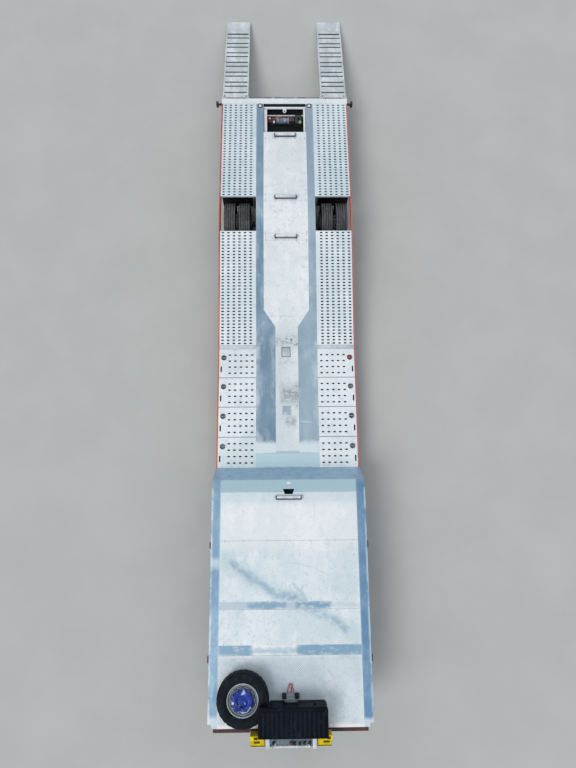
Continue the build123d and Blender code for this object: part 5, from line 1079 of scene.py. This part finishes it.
def add_rim(piece, x, s, z, facing, keys=("rim_grey", "rim_grey"), stand=None):
    """Rim barrel and disc; the disc stands towards facing along X, or up where stand is given."""
    turn = Matrix.Rotation(0.0 if facing > 0 else math.pi, 4, "Z")
    move = place(x, s, z) @ (stand or Matrix.Identity(4)) @ turn
    piece.loft(spun(RIM_SECTION, RIM_STEPS), keys[0], move, closed=True)
    inner, outer = [], []
    for face in DISC[1]:
        reach = sum(math.hypot(DISC[0][i][1], DISC[0][i][2]) for i in face) / len(face)
        (outer if reach > TWO_TONE_R else inner).append(face)
    piece.split(DISC[0], [(inner, keys[1]), (outer, keys[0])], move)
    return move


WHEEL_OUT, WHEEL_IN = 1.075, 0.797
TO_X = facing(1)
for side, word in ((1, "left"), (-1, "right")):
    body = f"wheels_{word}"
    tyres = Piece(f"tyre_pair_{word}", body, "tyre_black")
    rims = Piece(f"rim_pair_{word}", body, "rim_silver")
    for x, towards in ((WHEEL_OUT, -side), (WHEEL_IN, side)):
        add_tyre(tyres, place(side * x, AXLE_S, TYRE_R))
        add_rim(rims, side * x, AXLE_S, TYRE_R, towards)
    tyres.finish([f"tyres_{word}"])
    rims.finish([f"rims_{word}"])
    fixings = Piece(f"wheel_nuts_{word}", body, "hub_dark")
    mount = place(side * ((WHEEL_OUT + WHEEL_IN) / 2 + 0.0105), AXLE_S, TYRE_R)
    for n, (c, s) in enumerate(circle(BOLTS)):
        spot = mount @ Matrix.Translation((0, BOLT_CIRCLE * c, BOLT_CIRCLE * s)) @ facing(side)
        fixings.nut(spot, "steel", 0.0155, 0.019, 2 * math.pi * n / BOLTS)
    cap = place(side * 1.04, AXLE_S, TYRE_R) @ facing(side)
    fixings.turned([(-0.004, 0.078), (0.004, 0.076), (0.012, 0.07), (0.014, 0.03),
                    (0.016, 0.01)], "hub", cap, 32)
    for c, s in circle(6):
        fixings.nut(cap @ Matrix.Translation((0.06 * c, 0.06 * s, 0.0115)), "steel", 0.006, 0.005)
    fixings.finish()

spare_lo, spare_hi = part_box("spare_tyre")
spare_x = (spare_lo.x + spare_hi.x) / 2
spare_s = (spare_lo.y + spare_hi.y) / 2 - FRONT_Y
spare_z = (spare_lo.z + spare_hi.z) / 2
UP = facing(-1)
spare = Piece("spare_tyre_ribbed", slot="tyre_black")
add_tyre(spare, place(spare_x, spare_s, spare_z) @ UP, "rubber")
spare.finish(["spare_tyre"])
spare_wheel = Piece("spare_wheel_disc", slot="rim_blue")
# Painted light on the spare rim: its barrel is painted dark blue-grey as shade, and the three thin
# rings laid on it are painted white as highlights on the rim's steps.
lay = add_rim(spare_wheel, spare_x, spare_s, spare_z, 1, ("silver", "blue"), UP)
for r, w, lift in ((0.182, 0.005, 0.086), (0.2065, 0.0058, 0.0705), (0.2335, 0.007, 0.097)):
    section = [(lift, r - w), (lift + w, r), (lift, r + w), (lift - w, r)]
    spare_wheel.loft(spun(section, 72), "roller", lay, closed=True)
# Painted shade: the bolt holes are dark discs laid on the wheel disc, standing for the shade inside
# the holes.
for c, s in circle(BOLTS, 0.5):
    spot = lay @ Matrix.Translation((0.1385, BOLT_CIRCLE * c, BOLT_CIRCLE * s)) @ TO_X
    spare_wheel.turned([(0, 0.0135), (0.0012, 0.0135), (0.0014, 0.012)], "dark", spot, 14)
clamp = lay @ Matrix.Translation((0.115, 0, 0)) @ TO_X
spare_wheel.turned([(0.0, 0.0875), (0.004, 0.0875), (0.008, 0.078), (0.01, 0.034)], "blue",
                   clamp, 40)
spare_wheel.turned([(0.006, 0.03), (0.022, 0.028), (0.026, 0.02)], "blue", clamp, 20)
spare_wheel.finish(["spare_rim"])

# Ramps: grip ribs across every slat, rivets along the cheeks
ON_RAMP = Matrix.Translation((0, HINGE_Y, HINGE_Z)) @ Matrix.Rotation(-SLOPE, 4, "X")
ramp_lo, ramp_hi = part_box("ramp_left")
SLAT_TOP, SLAT_END = 0.029, 2.054
RIB_INSET, RIB_PITCH, RIB_RISE = 0.032, 0.034, 0.003
RIVET_INSET, RIVET_START, RIVET_PITCH, RIVETS = 0.014, 0.12, 0.2, 12
slats = [(0.05, 0.122, SLAT_TOP), (2.086, 2.49, RAMP_TOP)]
for n in range(6):
    u = SLAT_END - n * PAIR_PITCH
    slats += [(u - 0.102, u, SLAT_TOP), (u - 0.296, u - 0.128, SLAT_TOP)]
for side, word in ((1, "left"), (-1, "right")):
    grip = Piece(f"ramp_grip_{word}", f"ramp_{word}", "deck_light")
    ends = sorted((side * (ramp_lo.x + RIB_INSET), side * (ramp_hi.x - RIB_INSET)))
    for a, b, top in slats:
        rows = max(2, int((b - a) / RIB_PITCH))
        for n in range(rows):
            m = a + (n + 0.5) * (b - a) / rows
            rings = [[(x, m - 0.005, top - 0.001), (x, m - 0.002, top + RIB_RISE),
                      (x, m + 0.002, top + RIB_RISE), (x, m + 0.005, top - 0.001)]
                     for x in ends]
            grip.loft(rings, "ramp", ON_RAMP)
    for x in (ramp_lo.x + RIVET_INSET, ramp_hi.x - RIVET_INSET):
        for n in range(RIVETS):
            along = RIVET_START + n * RIVET_PITCH
            spot = ON_RAMP @ Matrix.Translation((side * x, along, RAMP_TOP))
            grip.turned([(-0.001, 0.006), (0.002, 0.005), (0.003, 0.002)], "bright", spot, 8)
    grip.finish()

# Rear compartment and its hydraulic unit
unit = Piece("hydraulic_details", slot="winch_grey")
UNIT_S = 11.01
motor = place(0, UNIT_S, 0.59) @ TO_X
unit.turned([(-0.176, 0.018), (-0.176, 0.046), (-0.168, 0.056), (-0.16, 0.0625)], "winch",
            motor, 28)
for h in (-0.15, -0.136, 0.06):
    unit.turned(band(h, h + 0.006, 0.0622, 0.0645), "bright", motor, 28)
unit.turned([(0.062, 0.062), (0.066, 0.068), (0.088, 0.068), (0.09, 0.062)], "winch", motor, 28)
for x in (-0.1, -0.06):
    unit.nut(place(x, UNIT_S, 0.65), "brass", 0.007, 0.008)
unit.tube([(-0.04, 11.06, 0.66), (-0.12, 11.06, 0.655), (-0.19, 11.045, 0.625),
           (-0.225, 11.02, 0.612)], 0.008, "primer")
unit.box(0.1, 0.18, 10.965, 11.055, 0.636, 0.652, "unit", 0.004)
for x, s in ((0.115, 10.98), (0.165, 10.98), (0.115, 11.04), (0.165, 11.04)):
    unit.nut(place(x, s, 0.652), "steel", 0.007, 0.006)
unit.turned([(0, 0.02), (0.01, 0.02), (0.012, 0.016)], "black", place(0.275, UNIT_S, 0.6635), 20)
unit.box(0.285, 0.335, 10.905, 10.965, 0.646, 0.662, "green", 0.005)
unit.turned([(0, 0.012), (0.016, 0.012), (0.018, 0.009)], "green", place(0.31, 10.935, 0.66), 14)
unit.box(-0.235, -0.2, 10.925, 10.975, 0.616, 0.65, "plate", 0.006)
for x, key in ((-0.3, "plate"), (-0.24, "red")):
    unit.turned([(0, 0.0165), (0.004, 0.0165), (0.006, 0.008), (0.01, 0.008)], key,
                place(x, UNIT_S, 0.6675), 16)
for x in (-0.315, -0.225):
    unit.nut(place(x, 11.045, 0.6175), "brass", 0.008, 0.008)
unit.tube([(0.18, 11.02, 0.6), (0.2, 11.02, 0.6), (0.215, 11.0, 0.6)], 0.008, "steel")
for x in (-0.37, -0.12, 0.15, 0.36):
    unit.turned(band(-0.012, 0.012, 0.0145, 0.021), "bright", place(x, 11.13, 0.588) @ TO_X, 16)
unit.finish()

fittings = Piece("deck_fittings", slot="galvanised")
for x in (-0.495, 0.495):
    spot = on_deck(x, 11.3)
    fittings.turned([(-0.002, 0.068), (0.003, 0.068), (0.006, 0.064), (0.006, 0.03)], "hatch",
                    spot, 36)
    fittings.turned([(0.004, 0.056), (0.01, 0.055), (0.013, 0.051), (0.013, 0.043),
                     (0.008, 0.04)], "iron", spot, 36)
    fittings.turned([(0.006, 0.034), (0.014, 0.031), (0.018, 0.02), (0.019, 0.008)], "roller",
                    spot, 28)
for x0, x1 in ((-0.421, -0.356), (0.378, 0.421)):
    fittings.box(x0, x1, 10.7, 11.24, 0.64, 0.646, "plate", 0.002)
COVER_EDGES = (8.28, 8.42, 9.09, 9.23, 10.522)
BAND_EDGES = (1.015, 1.195, 1.695, 1.845, 2.755, 2.781)
for s in COVER_EDGES:
    for x in (-0.39, -0.2, 0.2, 0.39):
        for offset in (-0.02, 0.02):
            fittings.rivet(on_deck(x, s + offset), 0.009, "steel")
for x in (-1.05, -0.75, -0.35, 0.0, 0.35, 0.75, 1.05):
    for s in BAND_EDGES:
        fittings.rivet(place(x, s, GOOSENECK_Z), 0.008, "bright")
fittings.finish()

# Rollers: end bolts and wear collars on the rope rollers
axles = Piece("roller_bolts", slot="steel_bright")
ROLLERS = ((LOW_LINE, 10.585), (LOW_LINE, 9.16), (LOW_LINE, 8.35), (TOP_LINE, 3.462))
ROLLER_RISE = 0.04
for line, s in ROLLERS:
    z = deck(s, line) + ROLLER_RISE
    for side in (1, -1):
        axles.nut(place(side * 0.212, s, z) @ facing(side), "steel", 0.013, 0.01)
        collar = place(side * 0.192, s, z) @ TO_X
        axles.turned([(-0.006, 0.0205), (-0.005, 0.0245), (0.005, 0.0245), (0.006, 0.0205)],
                     "bright", collar, 24)
axles.finish()

# Front gear: couplings and pale hose clips on the frame, latches of the winch cover
gear = Piece("front_couplings", slot="steel_dark")
SHELF_Z, GRIP_FOOT, GRIP_TOP = 1.188, 1.222, 1.236
for x, s, key in ((0.0, -0.165, "red"), (0.05, -0.17, "dark"), (0.13, -0.172, "dark"),
                  (0.2, -0.165, "dark"), (-0.262, -0.16, "dark"), (0.28, -0.165, "dark")):
    gear.turned([(0.0, 0.02), (0.008, 0.02), (0.01, 0.015), (0.026, 0.015), (0.03, 0.021),
                 (0.044, 0.021), (0.047, 0.016)], "dark", place(x, s, SHELF_Z), 18)
    gear.box(x - 0.03, x + 0.014, s - 0.01, s + 0.01, GRIP_FOOT, GRIP_TOP, key)
for x in (-0.288, 0.313):
    for lean in (-1, 1):
        gear.tube([(x, -0.222, 1.198), (x + lean * 0.018, -0.226, 1.206),
                   (x + lean * 0.046, -0.2, 1.196), (x + lean * 0.05, -0.17, 1.19)],
                  0.006, "plate", 8)
gear.finish()

cover_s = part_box("winch_cover")[1].y - FRONT_Y
latch = Piece("cover_latches", slot="rubber_black")
for x in (-0.3, 0.36):
    latch.box(x - 0.018, x + 0.018, cover_s - 0.0005, cover_s + 0.012, 1.2, 1.32, "rubber", 0.004)
    knob = place(x, cover_s + 0.01, 1.3) @ Matrix.Rotation(-math.pi / 2, 4, "X")
    latch.turned([(-0.004, 0.012), (0.01, 0.01), (0.013, 0.006)], "rubber", knob, 16)
latch.finish()

# Lamps: three lenses on each tail lamp, amber lenses at the gooseneck's sides
lamp = Piece("lamp_lenses", slot="lamp_red")
lamp_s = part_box("tail_lamps")[1].y - FRONT_Y
for side in (1, -1):
    for x0, x1, key in ((0.938, 1.02, "red_lens"), (1.024, 1.1, "amber_lens"),
                        (1.104, 1.182, "clear_lens")):
        lamp.box(side * x0, side * x1, lamp_s - 0.001, lamp_s + 0.006, 0.402, 0.46, key)
for s in (0.97, 2.7):
    for side in (1, -1):
        lamp.box(side * 1.299, side * 1.304, s - 0.045, s + 0.045, 0.992, 1.018, "amber_lens", 0.002)
lamp.finish()

# Painted shade under the rope hole: a black box that stands for the dark below the hole
SHADE_BOX_HALF, SHADE_BOX_FRONT, SHADE_BOX_BACK, SHADE_BOX_WALL = 0.125, 3.49, 3.64, 0.004
rope_shade_box = Piece("rope_hole_shade_box", slot="steel_dark")
rope_shade_box.box(-SHADE_BOX_HALF, SHADE_BOX_HALF, SHADE_BOX_FRONT, SHADE_BOX_BACK, 0.985, 0.99, "pit", 0.001)
for side in (-1, 1):
    rope_shade_box.box(side * (SHADE_BOX_HALF - SHADE_BOX_WALL), side * SHADE_BOX_HALF, SHADE_BOX_FRONT, SHADE_BOX_BACK,
              0.988, 1.05, "pit", 0.001)
rope_shade_box.box(-SHADE_BOX_HALF, SHADE_BOX_HALF, SHADE_BOX_FRONT, SHADE_BOX_FRONT + SHADE_BOX_WALL, 0.988, 1.07, "pit",
          0.001)
rope_shade_box.finish(smooth=0)

# Collars of the fairlead's rollers, and the strap of the hook
collars = Piece("fairlead_collars", slot="steel_dark")
fair_lo, fair_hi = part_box("winch_fairlead")
fair_s = fair_hi.y - FRONT_Y
for x in (-0.105, 0.105):
    for z in (fair_lo.z + 0.014, fair_hi.z - 0.004):
        collars.turned([(-0.004, 0.017), (-0.004, 0.027), (0.001, 0.029), (0.006, 0.029),
                        (0.009, 0.022), (0.01, 0.008)], "iron", place(x, fair_s - 0.018, z), 24)
hook_lo, hook_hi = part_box("winch_hook")
for side in (1, -1):
    collars.tube([(side * 0.052, fair_s + 0.002, hook_lo.z + 0.007),
                  (side * 0.042, hook_lo.y - FRONT_Y + 0.05, hook_lo.z + 0.007),
                  (side * 0.01, hook_hi.y - FRONT_Y - 0.012, hook_hi.z + 0.003)], 0.0065, "strap")
collars.finish()

# Sockets on the chocks' sloped faces, laid on by rays from above
chocks = nodes["wheel_chocks"]
sockets = Piece("chock_sockets", slot="chock_yellow")
STEPS, CHOCK_Z, SOCKET_LIFT = 4, 1.2, 0.0012
for x0, x1, s0, s1 in ((-0.56, -0.47, -0.186, -0.118), (-0.56, -0.5, -0.094, -0.054),
                       (0.485, 0.58, -0.186, -0.124), (0.535, 0.59, -0.094, -0.054)):
    grid = []
    for i in range(STEPS + 1):
        for j in range(STEPS + 1):
            x, y = x0 + (x1 - x0) * i / STEPS, at(s0 + (s1 - s0) * j / STEPS)
            hit, spot, _, _ = chocks.ray_cast(Vector((x, y, 2.0)), Vector((0, 0, -1)))
            grid.append((x, y, (spot.z if hit else CHOCK_Z) + SOCKET_LIFT))
    starts = [i * (STEPS + 1) + j for i in range(STEPS) for j in range(STEPS)]
    faces = [(k, k + STEPS + 1, k + STEPS + 2, k + 1) for k in starts]
    sockets.add(grid, faces, "socket")
sockets.finish(smooth=0)

# Materials of the carried-over nodes
DRESS = {
    "under": "cross_members underrun_bar coupler_plate landing_legs hanger_brackets air_tank",
    "steel": "ramp_hinge_pins kingpin landing_feet landing_shaft pivot_pins",
    "hub": "axle_beam suspension_arms hub_left hub_right",
    "rubber": "air_springs mud_flaps", "ramp": "ramp_left ramp_right",
    "frame_pale": "front_frame chock_holders", "strip": "main_beams", "side": "gooseneck_frame",
    "band": "gooseneck_bands", "plates": "gooseneck_deck_plates", "neck": "neck_plates",
    "covers": "centre_covers", "rail": "side_rails", "beam": "rear_beam", "plate": "number_plate",
    "tail": "tail_lamps", "marker": "marker_lamps", "well": "rear_compartment",
    "unit": "hydraulic_unit", "roller": "rope_rollers", "dark": "roller_brackets",
    "maroon": "front_beam", "yellow": "wheel_chocks", "winch": "winch_block",
    "black": "winch_cover", "iron": "winch_fairlead", "hook": "winch_hook",
}
for key, names in DRESS.items():
    for name in names.split():
        mesh = nodes[name].data
        mesh.materials.clear()
        mesh.materials.append(FINISHES[key])

# Floor, light and camera
FLOOR_HALF, FLOOR_Z = 60, -0.001
floor_mesh = bpy.data.meshes.new("floor")
corners = [(x * FLOOR_HALF, y * FLOOR_HALF, FLOOR_Z)
           for x, y in ((-1, -1), (1, -1), (1, 1), (-1, 1))]
floor_mesh.from_pydata(corners, [], [(0, 1, 2, 3)])
floor = add_object("floor", floor_mesh)
ground = Finish("pale_floor", 0.9, 0.0, 0.1)
ground.tint = ground.mixed(ground.rise(ground.noise(0.8), 0.3, 0.7), (0.47, 0.47, 0.46),
                           (0.5, 0.5, 0.49))
ground.done(None, 0.05)
floor_mesh.materials.append(ground.material)

world = bpy.data.worlds.new("studio")
bpy.context.scene.world = world
world.use_nodes = True
tree = world.node_tree
upward = add_node(tree, "SeparateXYZ", {0: add_node(tree, "TexCoord", {}, "Generated")}, "Z")
overcast = add_node(tree, "MapRange", {"Value": upward, "To Min": 0.3, "To Max": 0.9})
background = tree.nodes["Background"]
background.inputs["Color"].default_value = (0.9, 0.95, 1.0, 1.0)
tree.links.new(overcast, background.inputs["Strength"])
seen = add_node(tree, "Background", {"Color": (0.84, 0.85, 0.86, 1.0)})
paths = add_node(tree, "LightPath", {}).node.outputs
either = add_node(tree, "Math", {0: paths["Is Camera Ray"], 1: paths["Is Glossy Ray"]},
                  operation="MAXIMUM")
sky = add_node(tree, "MixShader", {0: either, 1: background.outputs[0], 2: seen})
tree.links.new(sky, tree.nodes["World Output"].inputs["Surface"])

sun_data = bpy.data.lights.new("key", "SUN")
sun_data.energy = 1.25
sun_data.angle = math.radians(28)
sun_data.color = (1.0, 0.98, 0.95)
sun = add_object("key", sun_data)
sun.rotation_euler = (math.radians(24), math.radians(-30), 0)

camera_data = bpy.data.cameras.new("camera")
camera_data.sensor_fit = "VERTICAL"
camera_data.sensor_height = 36.0
camera_data.lens = 27.64
camera = add_object("camera", camera_data)
stand = place(-0.1516, 3.0384, 11.0378)
for degrees, axis in ((6.3839, "Z"), (13.1216, "X"), (-2.3494, "Y"), (-6.5738, "Z")):
    stand = stand @ Matrix.Rotation(math.radians(degrees), 4, axis)
camera.matrix_world = stand
bpy.context.scene.camera = camera
bpy.context.scene.view_settings.view_transform = "Standard"
